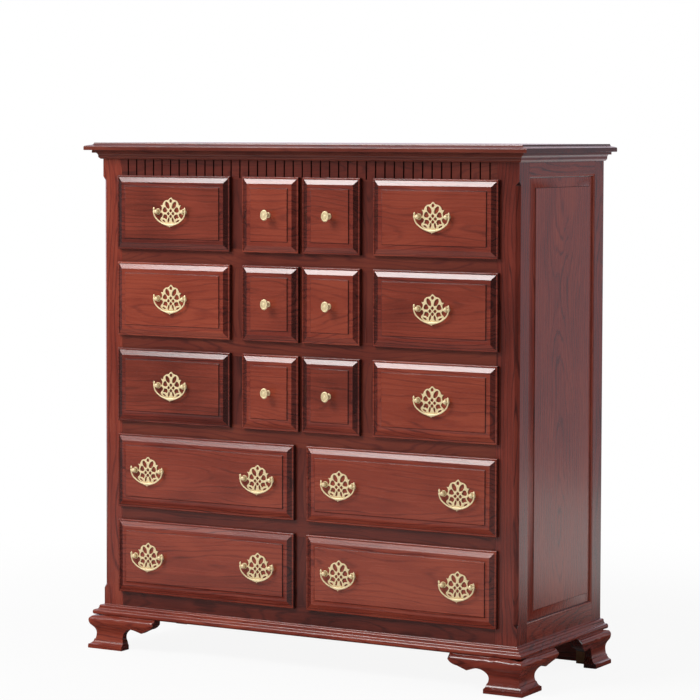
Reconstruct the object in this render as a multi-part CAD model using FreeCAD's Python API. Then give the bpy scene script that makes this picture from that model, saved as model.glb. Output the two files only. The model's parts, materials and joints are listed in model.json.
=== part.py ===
import FreeCAD, Part
import math
import os
from FreeCAD import Vector

# Multi-drawer chest: sixteen lipped drawers in a framed carcass on bracket feet.
# Millimetres. +Z is up, +X is to the viewer's right, the drawers open toward -Y.
# The origin is on the floor, under the centre of the whole object's box.

# Case
case_width = 1168.4
case_depth = 460.5
floor_to_moulding = 81.0
stock = 22.0
thin_gap = 0.3
cut_over = 1.0

# Top board and the moulding under it
top_thickness = 19.0
top_overhang = 35.5
top_nose_height = 8.0
top_slope_width = 15.0
top_slope_height = 13.4
top_cove_width = 19.5
crown_height = 22.0
crown_fillet = 6.7
crown_reach = 20.5
crown_foot = 5.0

# Base moulding
base_moulding_height = 30.5
base_moulding_reach = 23.0

# Front layout: rows of drawer fronts between posts and rails
row_count = 5
upper_rows = 3
front_height = 184.5
row_gap = 31.8
lowest_front_above_moulding = 37.5
frieze_reveal = 40.3
post_reveal = 49.0
column_gap = 35.0
middle_gap = 10.0
small_front_width = 161.2
lip_overlap = 8.0

# Corner posts and side frames
post_depth = 52.0
rear_stile_depth = 50.5
side_top_rail = 30.1
side_bottom_rail = 42.4
chamfer_leg = 9.0
chamfer_run_out = 12.0
chamfer_margin = 3.0

# Grooved frieze
groove_side_margin = 60.0
groove_pitch = 25.4
groove_width = 3.2
groove_depth = 5.0
groove_end_margin = 4.0

# Drawer front section, from the outer edge inward
front_edge_thickness = 9.5
front_field_thickness = 16.5
lip_radius = 3.0
lip_flat = 4.5
quirk_depth = 0.8
bevel_end = 17.0
bevel_top = 14.0
cove_end = 27.0
field_start = 28.7
field_step = 2.0

# Drawer box
drawer_side_thickness = 12.0
drawer_box_headroom = 18.5
drawer_box_clearance = 1.0
drawer_bottom_thickness = 5.0
drawer_bottom_height = 10.0
drawer_back_clearance = 8.0
running_clearance = 0.3

# Web frames, partitions and back
web_thickness = 20.0
web_member_width = 50.0
runner_width = 70.0
dust_panel_thickness = 5.0
partition_thickness = 19.0
guide_height = 20.0
guide_clearance = 0.6
back_thickness = 6.0

# Side panels
panel_tongue = 6.0
panel_tongue_depth = 7.0
panel_groove_depth = 8.0
panel_groove_set_back = 11.0
panel_bevel_width = 30.0
panel_field_stand = 2.0

# Bracket feet
foot_length = 167.0
rear_leg_extra = 16.0
foot_pad_length = 72.0
foot_pad_height = 10.5
foot_pad_reach = 30.5
foot_waist_reach = 14.5
foot_waist_height = 36.0
foot_waist_length = 66.0
foot_bulge_reach = 29.5
foot_bulge_height = 70.5
foot_top_reach = 20.7
foot_inner_set_back = 3.0
foot_drop_length = 123.0
foot_drop_height = 47.0
foot_notch_length = 108.0
foot_notch_height = 52.0
rear_board_length = 115.0
rear_board_thickness = 20.0
block_size = 36.0
block_floor_gap = 2.0

# Bail pulls
pull_centres = 76.2
pull_from_front_end = 97.5
pull_above_centre = 3.5
plate_thickness = 2.0
post_stand = 7.0
post_head_radius = 5.2
post_head_height = 7.0
post_neck_radius = 3.2
post_rosette_radius = 7.6
post_rosette_height = 1.6
post_dome = 1.8
shank_radius = 2.1
shank_clearance = 0.3
nut_radius = 4.6
nut_thickness = 3.6
bail_overhang = 7.9
bail_drop = 33.0
bail_side_radius = 24.0
bail_wire_radius = 1.9
bail_middle_radius = 3.4
bail_middle_half_length = 11.0
bail_end_radius = 2.2
bail_tip_length = 11.5
bail_tip_radius = 0.8
bail_tip_lean = 0.1
pin_radius = 1.6
pin_clearance = 0.06
pin_engagement = 4.0
pin_socket_depth = 5.0

# Knobs
knob_radius = 13.0
knob_width_ratio = 0.81
knob_stand = 22.0
knob_rim_width = 2.8
knob_dish_depth = 0.8
knob_flange_radius = 7.2
knob_flange_height = 2.5
knob_neck_radius = 3.8
knob_head_height = 7.0
knob_screw_radius = 2.0
knob_screw_depth = 12.0
screw_head_radius = 4.0
screw_head_height = 2.6

# Heights and planes that follow from the sizes above
half_case = case_width / 2
front_stand = thin_gap + front_field_thickness + knob_stand
face_y = front_stand - (case_depth + front_stand) / 2
back_y = face_y + case_depth
case_bottom = floor_to_moulding
moulding_top = case_bottom + base_moulding_height
row_pitch = front_height + row_gap
lowest_front = moulding_top + lowest_front_above_moulding
crown_bottom = lowest_front + (row_count - 1) * row_pitch + front_height + frieze_reveal
top_underside = crown_bottom + crown_height
overall_height = top_underside + top_thickness
front_back_y = face_y - thin_gap
field_y = front_back_y - front_field_thickness
post_width = post_reveal + lip_overlap
rail_height = row_gap + 2 * lip_overlap
middle_x = half_case - post_reveal
wide_front_width = middle_x - column_gap / 2
medium_front_width = middle_x - middle_gap / 2 - small_front_width - column_gap
web_front_y = face_y + stock
inside_back_y = back_y - back_thickness
side_panel_top = crown_bottom - side_top_rail
side_panel_bottom = moulding_top + side_bottom_rail
drawer_box_height = front_height - 2 * lip_overlap - drawer_box_headroom
groove_count = 2 * int((half_case - groove_side_margin) / groove_pitch) + 1
bail_half_width = pull_centres / 2 + bail_overhang


def front_bottom(row):
    """Lower edge of the drawer fronts of a row; row 1 is the top row."""
    return lowest_front + (row_count - row) * row_pitch


def opening_bottom(row):
    """Height of the surface that the drawers of a row run on."""
    return front_bottom(row) + lip_overlap


def columns(row):
    """Name, centre and front width of each drawer of a row."""
    wide_x = column_gap / 2 + wide_front_width / 2
    small_x = middle_gap / 2 + small_front_width / 2
    medium_x = middle_x - medium_front_width / 2
    if row > upper_rows:
        return [("left", -wide_x, wide_front_width), ("right", wide_x, wide_front_width)]
    return [
        ("left", -medium_x, medium_front_width),
        ("inner_left", -small_x, small_front_width),
        ("inner_right", small_x, small_front_width),
        ("right", medium_x, medium_front_width),
    ]


def mullions(row):
    """Centre and width of each upright between the drawers of a row."""
    upright = column_gap + 2 * lip_overlap
    if row > upper_rows:
        return [(0.0, upright)]
    side_x = middle_gap / 2 + small_front_width + column_gap / 2
    return [(-side_x, upright), (0.0, middle_gap + 2 * lip_overlap), (side_x, upright)]


def block(x0, x1, y0, y1, z0, z1):
    """Rectangular solid between two corners."""
    return Part.makeBox(x1 - x0, y1 - y0, z1 - z0, Vector(x0, y0, z0))


def rod(start, end, radius):
    """Round bar from one point to another."""
    return Part.makeCylinder(radius, (end - start).Length, start, end - start)


def on_xz(a, b):
    return Vector(a, 0, b)


def on_yz(a, b):
    return Vector(0, a, b)


def on_xy(a, b):
    return Vector(a, b, 0)


def face_of(place, legs):
    """Flat face inside a closed outline.

    The first leg is the start point. Each other leg is a point reached by a line,
    or a pair: a point that an arc passes through and the point where it ends.
    """
    edges = []
    here = place(*legs[0])
    for leg in list(legs[1:]) + [legs[0]]:
        if isinstance(leg[0], tuple):
            end = place(*leg[1])
            edges.append(Part.Arc(here, place(*leg[0]), end).toShape())
        else:
            end = place(*leg)
            if (end - here).Length < 1e-6:
                continue
            edges.append(Part.makeLine(here, end))
        here = end
    return Part.Face(Part.Wire(edges))


def mirrored(legs, axis):
    """The same outline run backward on the other side of an upright line."""
    points = []
    for leg in legs:
        points.append(leg[1] if isinstance(leg[0], tuple) else leg)
    result = [(2 * axis - points[-1][0], points[-1][1])]
    for index in range(len(legs) - 1, 0, -1):
        target = (2 * axis - points[index - 1][0], points[index - 1][1])
        leg = legs[index]
        if isinstance(leg[0], tuple):
            result.append(((2 * axis - leg[0][0], leg[0][1]), target))
        else:
            result.append(target)
    return result


def slid(shape, x=0.0, y=0.0, z=0.0):
    """Copy of a shape moved by the given amounts."""
    copy = shape.copy()
    copy.translate(Vector(x, y, z))
    return copy


def left_right(shape):
    """A shape and its mirror image across the middle of the chest."""
    return [shape, shape.mirror(Vector(0, 0, 0), Vector(1, 0, 0))]


def save(name, solids):
    """Write one node's solids to its own file."""
    shape = solids[0] if len(solids) == 1 else Part.makeCompound(solids)
    shape.exportStep("parts/" + name + ".step")
    print(name, len(solids))


# Raised drawer fronts


def front_section(span):
    """Across a drawer front: moulded border, raised field, moulded border."""
    lip_rise = front_edge_thickness - lip_radius
    lip_mid = lip_radius * (1 - math.sqrt(0.5))
    quirk_floor = front_edge_thickness - quirk_depth
    cove_mid = ((bevel_end + cove_end) / 2, bevel_top - 0.25)
    step_foot = front_field_thickness - field_step
    half = [
        (0.0, 0.0),
        (0.0, lip_rise),
        ((lip_mid, front_edge_thickness - lip_mid), (lip_radius, front_edge_thickness)),
        (lip_flat, front_edge_thickness),
        (lip_flat, quirk_floor),
        (bevel_end, bevel_top),
        (cove_mid, (cove_end, step_foot)),
        (field_start, front_field_thickness),
    ]
    return half + mirrored(half, span / 2)


def raised_front(width, height, centre_x, bottom_z, holes):
    """Solid front: two crossed sections leave a border mitred at the corners."""
    across = face_of(on_xy, [fold_leg(leg, 1) for leg in front_section(width)])
    across = across.extrude(Vector(0, 0, height))
    upright = face_of(on_yz, [fold_leg(leg, 0) for leg in front_section(height)])
    upright = upright.extrude(Vector(width, 0, 0))
    front = across.common(upright)
    front.translate(Vector(centre_x - width / 2, front_back_y, bottom_z))
    front = front.cut(Part.makeCompound(holes))
    return front.Solids[0]


def fold_leg(leg, depth_index):
    """Turn (along, depth) pairs into plane coordinates with depth toward -Y."""
    def turn(point):
        if depth_index == 1:
            return (point[0], -point[1])
        return (-point[1], point[0])
    if isinstance(leg[0], tuple):
        return (turn(leg[0]), turn(leg[1]))
    return turn(leg)


# Drawers


def bolt_hole(x, z, radius):
    """Bolt hole through the front and the box front."""
    start = Vector(x, field_y - cut_over, z)
    length = front_field_thickness + drawer_side_thickness + 2 * cut_over
    return rod(start, start + Vector(0, length, 0), radius)


def pull_places(row, centre_x, width):
    """Centre of each bail pull on a front."""
    if row > upper_rows:
        reach = width / 2 - pull_from_front_end
        return [centre_x - reach, centre_x + reach]
    return [centre_x]


def box_limits(row, centre_x, width):
    """Outer box of the drawer behind the front."""
    half = width / 2 - lip_overlap - drawer_box_clearance
    bottom = opening_bottom(row) + running_clearance
    return centre_x - half, centre_x + half, front_back_y, inside_back_y - drawer_back_clearance, bottom


def drawer(row, name, centre_x, width):
    """Front, four box walls and the bottom of one drawer."""
    centre_z = front_bottom(row) + front_height / 2
    post_z = centre_z + pull_above_centre
    holes = []
    if name.startswith("inner"):
        holes.append(bolt_hole(centre_x, centre_z, knob_screw_radius + shank_clearance))
    else:
        for x in pull_places(row, centre_x, width):
            for side in (-1, 1):
                holes.append(bolt_hole(x + side * pull_centres / 2, post_z, shank_radius + shank_clearance))
    x0, x1, y0, y1, z0 = box_limits(row, centre_x, width)
    t = drawer_side_thickness
    z1 = z0 + drawer_box_height
    box_front = block(x0 + t, x1 - t, y0, y0 + t, z0, z1).cut(Part.makeCompound(holes))
    bottom_z = z0 + drawer_bottom_height
    return [
        raised_front(width, front_height, centre_x, front_bottom(row), holes),
        box_front.Solids[0],
        block(x0, x0 + t, y0, y1, z0, z1),
        block(x1 - t, x1, y0, y1, z0, z1),
        block(x0 + t, x1 - t, y1 - t, y1, z0, z1),
        block(x0 + t, x1 - t, y0 + t, y1 - t, bottom_z, bottom_z + drawer_bottom_thickness),
    ]


# Bail pulls


def leaf_hole(x, z, long_half, short_half, lean):
    """Elliptical opening in a plate, leaning by an angle from upright."""
    turn = math.radians(lean)
    major = Vector(math.sin(turn), 0, math.cos(turn)) * long_half
    minor = Vector(math.cos(turn), 0, -math.sin(turn)) * short_half
    centre = Vector(x, 0, z)
    ring = Part.Ellipse(centre + major, centre + minor, centre).toShape()
    hole = Part.Face(Part.Wire([ring])).extrude(Vector(0, plate_thickness + 2, 0))
    hole.translate(Vector(0, -1, 0))
    return hole


def plate_shield():
    """Outline of one half of the plate, finial to foot, mirrored and cut out."""
    half = [
        (0.0, -37.0),
        (-2.2, -32.5),
        ((-15.0, -30.5), (-24.5, -23.5)),
        ((-27.5, -20.5), (-26.8, -16.5)),
        ((-23.6, -13.0), (-22.6, -8.5)),
        ((-24.4, -3.0), (-28.0, -1.2)),
        ((-25.6, 3.0), (-24.6, 9.4)),
        (-28.3, 12.4),
        ((-24.6, 12.6), (-22.4, 16.0)),
        ((-20.5, 23.2), (-13.4, 26.2)),
        ((-11.0, 26.4), (-8.6, 27.6)),
        ((-5.4, 28.6), (-3.4, 30.6)),
        ((-2.4, 32.8), (0.0, 33.4)),
    ]
    outline = half + mirrored(half, 0.0)[1:]
    shield = face_of(on_xz, outline).extrude(Vector(0, plate_thickness, 0))
    for side in (-1, 1):
        pad_centre = Vector(side * pull_centres / 2, 0, 0)
        pad = Part.makeCylinder(post_rosette_radius, plate_thickness, pad_centre, Vector(0, 1, 0))
        arm_start = min(side * 23.0, side * pull_centres / 2)
        arm = block(arm_start, arm_start + pull_centres / 2 - 23.0, 0, plate_thickness, -3.2, -0.2)
        shield = shield.fuse([pad, arm])
    return shield.removeSplitter()


def plate_holes():
    """Openings of the pierced plate, and the two bolt holes."""
    holes = [leaf_hole(0, 24.4, 3.6, 3.2, 0)]
    for side in (-1, 1):
        holes += [
            leaf_hole(side * 9.3, 12.4, 8.6, 3.5, side * 16),
            leaf_hole(side * 17.6, 3.0, 4.8, 4.0, 0),
            leaf_hole(side * 6.6, -5.8, 2.5, 2.3, 0),
            leaf_hole(side * 17.0, -12.6, 4.6, 3.2, side * -30),
            leaf_hole(side * 5.4, -20.4, 5.4, 2.2, side * -12),
            leaf_hole(side * 16.6, -22.6, 4.4, 1.9, side * 60),
        ]
    holes += [leaf_hole(0, 0.4, 2.6, 2.4, 0), leaf_hole(0, -12.2, 2.6, 2.2, 0)]
    hole_radius = shank_radius + shank_clearance
    for side in (-1, 1):
        centre = Vector(side * pull_centres / 2, -1, 0)
        holes.append(Part.makeCylinder(hole_radius, plate_thickness + 2, centre, Vector(0, 1, 0)))
    return Part.makeCompound(holes)


def pull_post(side):
    """Turned post with a rosette foot, a domed head, a pin socket and a long shank.

    The plate's face is at y = 0 and the post stands toward -Y.
    """
    x = side * pull_centres / 2
    neck_start = -post_rosette_height
    head_start = neck_start - 0.8
    head_end = head_start - post_head_height
    shank_end = plate_thickness + front_field_thickness + drawer_side_thickness + nut_thickness + 1
    outline = [
        (0.0, head_end - post_dome),
        ((post_head_radius * 0.66, head_end - post_dome * 0.72), (post_head_radius, head_end)),
        (post_head_radius, head_start),
        (post_neck_radius, head_start + 0.3),
        (post_neck_radius, neck_start),
        (post_rosette_radius, neck_start + 1.2),
        (post_rosette_radius, 0.0),
        (shank_radius, 0.0),
        (shank_radius, shank_end),
        (0.0, shank_end),
    ]
    post = face_of(on_xy, outline).revolve(Vector(0, 0, 0), Vector(0, 1, 0), 360)
    socket_start = Vector(side * (post_head_radius + 1), -post_stand, 0)
    socket_end = Vector(side * (post_head_radius - pin_socket_depth), -post_stand, 0)
    post = post.cut(rod(socket_start, socket_end, pin_radius + pin_clearance))
    post.translate(Vector(x, 0, 0))
    return post.Solids[0]


def hexagon_nut(x):
    """Nut on a post's shank, against the inside of the box front."""
    start_y = plate_thickness + front_field_thickness + drawer_side_thickness
    corners = []
    for index in range(6):
        angle = math.radians(60 * index)
        corners.append((x + nut_radius * math.cos(angle), nut_radius * math.sin(angle)))
    nut = face_of(on_xz, corners).extrude(Vector(0, nut_thickness, 0))
    bore_start = Vector(x, -1, 0)
    bore = rod(bore_start, bore_start + Vector(0, nut_thickness + 2, 0), shank_radius + pin_clearance)
    return slid(nut.cut(bore), y=start_y).Solids[0]


def pull_plate():
    """Pierced plate, two posts and two nuts, with the plate's face at y = 0."""
    plate = plate_shield().cut(plate_holes())
    parts = [plate.Solids[0]]
    for side in (-1, 1):
        parts.append(pull_post(side))
        parts.append(hexagon_nut(side * pull_centres / 2))
    return parts


def bail_path():
    """Three arcs: down at each end and a flatter one across the bottom."""
    a = bail_half_width
    r = bail_side_radius
    inset = a - r
    flat = (inset * inset + bail_drop * bail_drop - r * r) / (2 * (bail_drop - r))
    centre_z = flat - bail_drop
    reach = math.hypot(inset, centre_z)
    join = (inset + r * inset / reach, -r * centre_z / reach)
    turn = math.atan2(join[1], join[0] - inset) / 2
    mid = (inset + r * math.cos(turn), r * math.sin(turn))
    right = Part.Arc(on_xz(a, 0), on_xz(*mid), on_xz(*join)).toShape()
    across = Part.Arc(on_xz(*join), on_xz(0, -bail_drop), on_xz(-join[0], join[1])).toShape()
    left = Part.Arc(on_xz(-join[0], join[1]), on_xz(-mid[0], mid[1]), on_xz(-a, 0)).toShape()
    return Part.Wire([right, across, left])


def bail():
    """Swinging handle with its two pivot pins; the pivot line is the X axis."""
    a = bail_half_width
    ring = Part.Wire([Part.makeCircle(bail_wire_radius, Vector(a, 0, 0), Vector(0, 0, 1))])
    body = bail_path().makePipeShell([ring], True, False)
    if body.Volume < 0:
        body.reverse()
    extras = []
    for side in (-1, 1):
        pin_start = Vector(side * (pull_centres / 2 + post_head_radius - pin_engagement), 0, 0)
        extras.append(rod(pin_start, Vector(side * a, 0, 0), pin_radius))
        extras.append(Part.makeSphere(bail_end_radius, Vector(side * a, 0, 0)))
        end = Vector(side * a, 0, 0)
        lean = Vector(side * bail_tip_lean, 0, 1)
        extras.append(Part.makeCone(bail_wire_radius, bail_tip_radius, bail_tip_length, end, lean))
        low = Vector(0, 0, -bail_drop)
        outward = Vector(side, 0, 0)
        half_length = bail_middle_half_length
        extras.append(Part.makeCone(bail_middle_radius, bail_wire_radius, half_length, low, outward))
    return body.fuse(extras).removeSplitter().Solids[0]


# Knobs


def knob():
    """Oval knob with a rim, a shallow dish and a blind screw hole; its flange stands on y = 0."""
    head_start = -(knob_stand - knob_head_height)
    flange_edge = -knob_flange_height * 0.5
    face = -knob_stand
    outline = [
        (0.0, face + knob_dish_depth),
        (knob_radius - knob_rim_width - 1.6, face + knob_dish_depth),
        (knob_radius - knob_rim_width, face),
        ((knob_radius - 0.5, face + 0.8), (knob_radius, face + 2.8)),
        ((knob_radius - 1.6, face + 5.0), (knob_neck_radius + 2.0, head_start - 0.6)),
        (knob_neck_radius, head_start),
        (knob_neck_radius, -knob_flange_height - 3.0),
        ((knob_flange_radius * 0.7, -knob_flange_height - 0.6), (knob_flange_radius, flange_edge)),
        (knob_flange_radius, 0.0),
        (0.0, 0.0),
    ]
    body = face_of(on_xy, outline).revolve(Vector(0, 0, 0), Vector(0, 1, 0), 360)
    narrower = FreeCAD.Matrix()
    narrower.scale(knob_width_ratio, 1.0, 1.0)
    body = body.transformGeometry(narrower)
    hole = rod(Vector(0, 1, 0), Vector(0, -knob_screw_depth - 1, 0), knob_screw_radius + pin_clearance)
    return body.cut(hole).Solids[0]


def knob_screw():
    """Round-headed screw that holds the knob from inside the drawer."""
    head_y = front_field_thickness + drawer_side_thickness
    shank = rod(Vector(0, -knob_screw_depth, 0), Vector(0, head_y, 0), knob_screw_radius)
    head = rod(Vector(0, head_y, 0), Vector(0, head_y + screw_head_height, 0), screw_head_radius)
    return shank.fuse(head).removeSplitter().Solids[0]


# Case front


def corner_post():
    """Right front post: full height, with a stopped chamfer on its outer corner."""
    x1 = half_case
    post = block(x1 - post_width, x1, face_y, face_y + post_depth, case_bottom, top_underside)
    low = lowest_front + chamfer_margin
    high = front_bottom(1) + front_height - chamfer_margin
    section = [(x1, face_y), (x1, face_y + chamfer_leg), (x1 - chamfer_leg, face_y)]
    cutter = face_of(on_xy, section).extrude(Vector(0, 0, high - low - 2 * chamfer_run_out))
    cutter.translate(Vector(0, 0, low + chamfer_run_out))
    ends = []
    for start, tip in ((low + chamfer_run_out, low), (high - chamfer_run_out, high)):
        corner = Vector(x1, face_y, start)
        base = [corner, corner + Vector(0, chamfer_leg, 0), corner - Vector(chamfer_leg, 0, 0)]
        ends.append(pyramid(base, Vector(x1, face_y, tip)))
    return post.cut([cutter] + ends).cut(panel_grooves()).Solids[0]


def pyramid(base, apex):
    """Solid with a flat base of any corners and one point."""
    faces = [Part.Face(Part.makePolygon(base + [base[0]]))]
    for index in range(len(base)):
        ring = [base[index], base[(index + 1) % len(base)], apex, base[index]]
        faces.append(Part.Face(Part.makePolygon(ring)))
    return Part.makeSolid(Part.makeShell(faces))


def face_frame():
    """Rails across the front and the short uprights between the drawers."""
    inner = half_case - post_width
    solids = [block(-inner, inner, face_y, face_y + stock, case_bottom, opening_bottom(row_count))]
    for row in range(2, row_count + 1):
        rail_bottom = opening_bottom(row - 1) - rail_height
        solids.append(block(-inner, inner, face_y, face_y + stock, rail_bottom, rail_bottom + rail_height))
    for row in range(1, row_count + 1):
        low = opening_bottom(row)
        high = low + front_height - 2 * lip_overlap
        for x, width in mullions(row):
            solids.append(block(x - width / 2, x + width / 2, face_y, face_y + stock, low, high))
    return solids


def frieze_rail():
    """Top rail with a row of upright grooves between the posts."""
    inner = half_case - post_width
    bottom = front_bottom(1) + front_height - lip_overlap
    rail = block(-inner, inner, face_y, face_y + stock, bottom, top_underside)
    grooves = []
    first = -(groove_count - 1) / 2 * groove_pitch
    for index in range(groove_count):
        x = first + index * groove_pitch
        grooves.append(block(x - groove_width / 2, x + groove_width / 2, face_y - 1, face_y + groove_depth,
                             bottom + groove_end_margin, top_underside + 1))
    return rail.cut(grooves).Solids[0]


# Case sides


def panel_grooves():
    """Slot all round the right-hand side opening that holds the panel's tongue."""
    x1 = half_case - panel_groove_set_back + panel_tongue
    x0 = x1 - panel_tongue
    d = panel_groove_depth
    y0 = face_y + post_depth - d
    y1 = back_y - rear_stile_depth + d
    return block(x0, x1, y0, y1, side_panel_bottom - d, side_panel_top + d)


def side_frame():
    """Rear stile and two rails of the right-hand side, behind the corner post."""
    x0 = half_case - stock
    stile_y = back_y - rear_stile_depth
    post_y = face_y + post_depth
    members = [
        block(x0, half_case, stile_y, back_y, case_bottom, top_underside),
        block(x0, half_case, post_y, stile_y, side_panel_top, top_underside),
        block(x0, half_case, post_y, stile_y, case_bottom, side_panel_bottom),
    ]
    return [member.cut(panel_grooves()).Solids[0] for member in members]


def side_panel():
    """Raised panel of the right-hand side: tongue, bevel and proud field."""
    y0 = face_y + post_depth - panel_tongue_depth
    y1 = back_y - rear_stile_depth + panel_tongue_depth
    z0 = side_panel_bottom - panel_tongue_depth
    z1 = side_panel_top + panel_tongue_depth
    inner_x = half_case - panel_groove_set_back
    tongue_x = inner_x + panel_tongue
    field_x = half_case + panel_field_stand
    step_x = field_x - field_step
    start = panel_tongue_depth + 1.0
    end = panel_tongue_depth + panel_bevel_width

    def section(low, high, order):
        half = [
            (low, inner_x),
            (low, tongue_x),
            (low + start, tongue_x),
            (((low + (start + end) / 2), (tongue_x + step_x) / 2 - 0.9), (low + end, step_x)),
            (low + end + 1.2, field_x),
        ]
        whole = half + mirrored(half, (low + high) / 2)
        flipped = []
        for leg in whole:
            if isinstance(leg[0], tuple):
                flipped.append((order(leg[0]), order(leg[1])))
            else:
                flipped.append(order(leg))
        return flipped

    level = face_of(on_xy, section(y0, y1, lambda p: (p[1], p[0]))).extrude(Vector(0, 0, z1 - z0))
    level.translate(Vector(0, 0, z0))
    upright = face_of(on_xz, section(z0, z1, lambda p: (p[1], p[0]))).extrude(Vector(0, y1 - y0, 0))
    upright.translate(Vector(0, y0, 0))
    return level.common(upright).Solids[0]


def back_panel():
    """Thin board that closes the back between the side frames."""
    inner = half_case - stock
    return block(-inner, inner, inside_back_y, back_y, case_bottom, top_underside)


# Inside the case


def web_frames():
    """Under each row: stretchers, runners, drawer guides and dust panels."""
    solids = []
    inner = half_case - stock
    for row in range(1, row_count + 1):
        top = opening_bottom(row)
        bottom = top - web_thickness
        front_end = web_front_y + web_member_width
        rear_start = inside_back_y - web_member_width
        post_inner = half_case - post_width
        solids.append(block(-post_inner, post_inner, web_front_y, front_end, bottom, top))
        solids.append(block(-inner, inner, rear_start, inside_back_y, bottom, top))
        middles = runner_lines(row)
        edges = []
        for x0, x1 in middles:
            solids.append(block(x0, x1, front_end, rear_start, bottom, top))
            edges.append((x0, x1))
        for left, right in zip(edges[:-1], edges[1:]):
            panel_z = (top + bottom) / 2
            solids.append(block(left[1], right[0], front_end, rear_start,
                                panel_z - dust_panel_thickness / 2, panel_z + dust_panel_thickness / 2))
        solids += guides(row)
    return solids


def runner_lines(row):
    """Left and right edge of each runner of a row, from left to right."""
    inner = half_case - stock
    end_width = post_width - stock + runner_width / 2
    lines = [(-inner, -inner + end_width)]
    for x, width in mullions(row):
        half = width / 2 + runner_width / 4
        lines.append((x - half, x + half))
    lines.append((inner - end_width, inner))
    return lines


def guides(row):
    """Strips on the runners that keep the drawer boxes in line with the openings."""
    solids = []
    low = opening_bottom(row)
    high = low + guide_height
    inner = half_case - stock
    post_inner = half_case - post_width
    solids.append(block(-inner, -post_inner - guide_clearance, face_y + post_depth, inside_back_y, low, high))
    solids.append(block(post_inner + guide_clearance, inner, face_y + post_depth, inside_back_y, low, high))
    for x, width in mullions(row):
        for side in (-1, 1):
            near = x + side * partition_thickness / 2
            far = x + side * (width / 2 - guide_clearance)
            solids.append(block(min(near, far), max(near, far), web_front_y, inside_back_y, low, high))
    return solids


def partitions():
    """Upright boards between the drawers, from web frame to web frame."""
    solids = []
    for row in range(1, row_count + 1):
        low = opening_bottom(row)
        high = top_underside if row == 1 else opening_bottom(row - 1) - web_thickness
        for x, width in mullions(row):
            half = partition_thickness / 2
            solids.append(block(x - half, x + half, web_front_y, inside_back_y, low, high))
    return solids


# Mouldings and top


def mitred_runs(section):
    """A moulding round the front and both sides, mitred at the two corners.

    The section is a list of legs with distance out from the case first, then height.
    """
    reach = 60.0
    front_section_face = face_of(on_yz, [flip_leg(leg, lambda p: (face_y - p[0], p[1])) for leg in section])
    front = front_section_face.extrude(Vector(2 * (half_case + reach), 0, 0))
    front.translate(Vector(-half_case - reach, 0, 0))
    wedge = [
        (-half_case - reach, face_y - reach),
        (half_case + reach, face_y - reach),
        (half_case, face_y),
        (-half_case, face_y),
    ]
    height = overall_height + 20
    front = front.common(face_of(on_xy, wedge).extrude(Vector(0, 0, height)))
    side_face = face_of(on_xz, [flip_leg(leg, lambda p: (half_case + p[0], p[1])) for leg in section])
    side = side_face.extrude(Vector(0, case_depth + reach, 0))
    side.translate(Vector(0, face_y - reach, 0))
    cheek = [
        (half_case, face_y),
        (half_case + reach, face_y - reach),
        (half_case + reach, back_y),
        (half_case, back_y),
    ]
    side = side.common(face_of(on_xy, cheek).extrude(Vector(0, 0, height)))
    return [front.Solids[0]] + left_right(side.Solids[0])


def flip_leg(leg, turn):
    """Apply a change of coordinates to a line leg or an arc leg."""
    if isinstance(leg[0], tuple):
        return (turn(leg[0]), turn(leg[1]))
    return turn(leg)


def crown_moulding():
    """Moulding under the top board: narrow foot, ogee, square fillet."""
    z = crown_bottom
    fillet_z = top_underside - crown_fillet
    return mitred_runs([
        (0.0, z),
        (crown_foot, z),
        (crown_foot + 0.6, z + 1.2),
        ((crown_foot + 3.2, z + 3.6), (crown_foot + 4.2, z + 7.6)),
        ((crown_foot + 5.0, z + 11.6), (crown_foot + 7.2, fillet_z - 0.9)),
        (crown_foot + 8.0, fillet_z),
        (crown_reach, fillet_z),
        (crown_reach, top_underside),
        (0.0, top_underside),
    ])


def base_moulding():
    """Moulding round the foot of the case: two beads, a hollow and a nose."""
    z = case_bottom
    t = moulding_top
    r = base_moulding_reach
    return mitred_runs([
        (0.0, z),
        (r - 2.8, z),
        (r - 2.4, z + 5.0),
        ((r + 0.3, z + 7.8), (r - 0.4, z + 11.6)),
        ((r - 6.0, z + 13.4), (r - 9.8, z + 16.6)),
        ((r - 9.6, z + 20.2), (r - 12.6, z + 22.2)),
        (r - 14.2, z + 22.4),
        ((r - 13.2, z + 26.6), (r - 16.2, t)),
        (0.0, t),
    ])


def top_board():
    """Slab with a moulded edge on the front and both sides and a flat back."""
    z0 = top_underside
    z1 = overall_height
    nose = z0 + 1.0
    half = half_case + top_overhang
    edge = [
        (-half + 1.0, z0),
        (-half, nose),
        (-half, z0 + top_nose_height),
        ((-half + 0.8, z0 + top_nose_height + 2.2), (-half + 3.0, z0 + top_nose_height + 3.2)),
        ((-half + 8.8, z0 + top_slope_height - 0.8), (-half + top_slope_width, z0 + top_slope_height)),
        ((-half + top_slope_width + 2.6, z0 + top_slope_height + 1.6), (-half + top_cove_width, z1)),
    ]
    level = face_of(on_xz, edge + mirrored(edge, 0.0)).extrude(Vector(0, case_depth + top_overhang, 0))
    level.translate(Vector(0, face_y - top_overhang, 0))
    front_y = face_y - top_overhang
    turned = [flip_leg(leg, lambda p: (p[0] + half + front_y, p[1])) for leg in edge]
    upright = face_of(on_yz, turned + [(back_y, z1), (back_y, z0)])
    upright = upright.extrude(Vector(2 * half, 0, 0))
    upright.translate(Vector(-half, 0, 0))
    return level.common(upright).Solids[0]


# Feet


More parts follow.
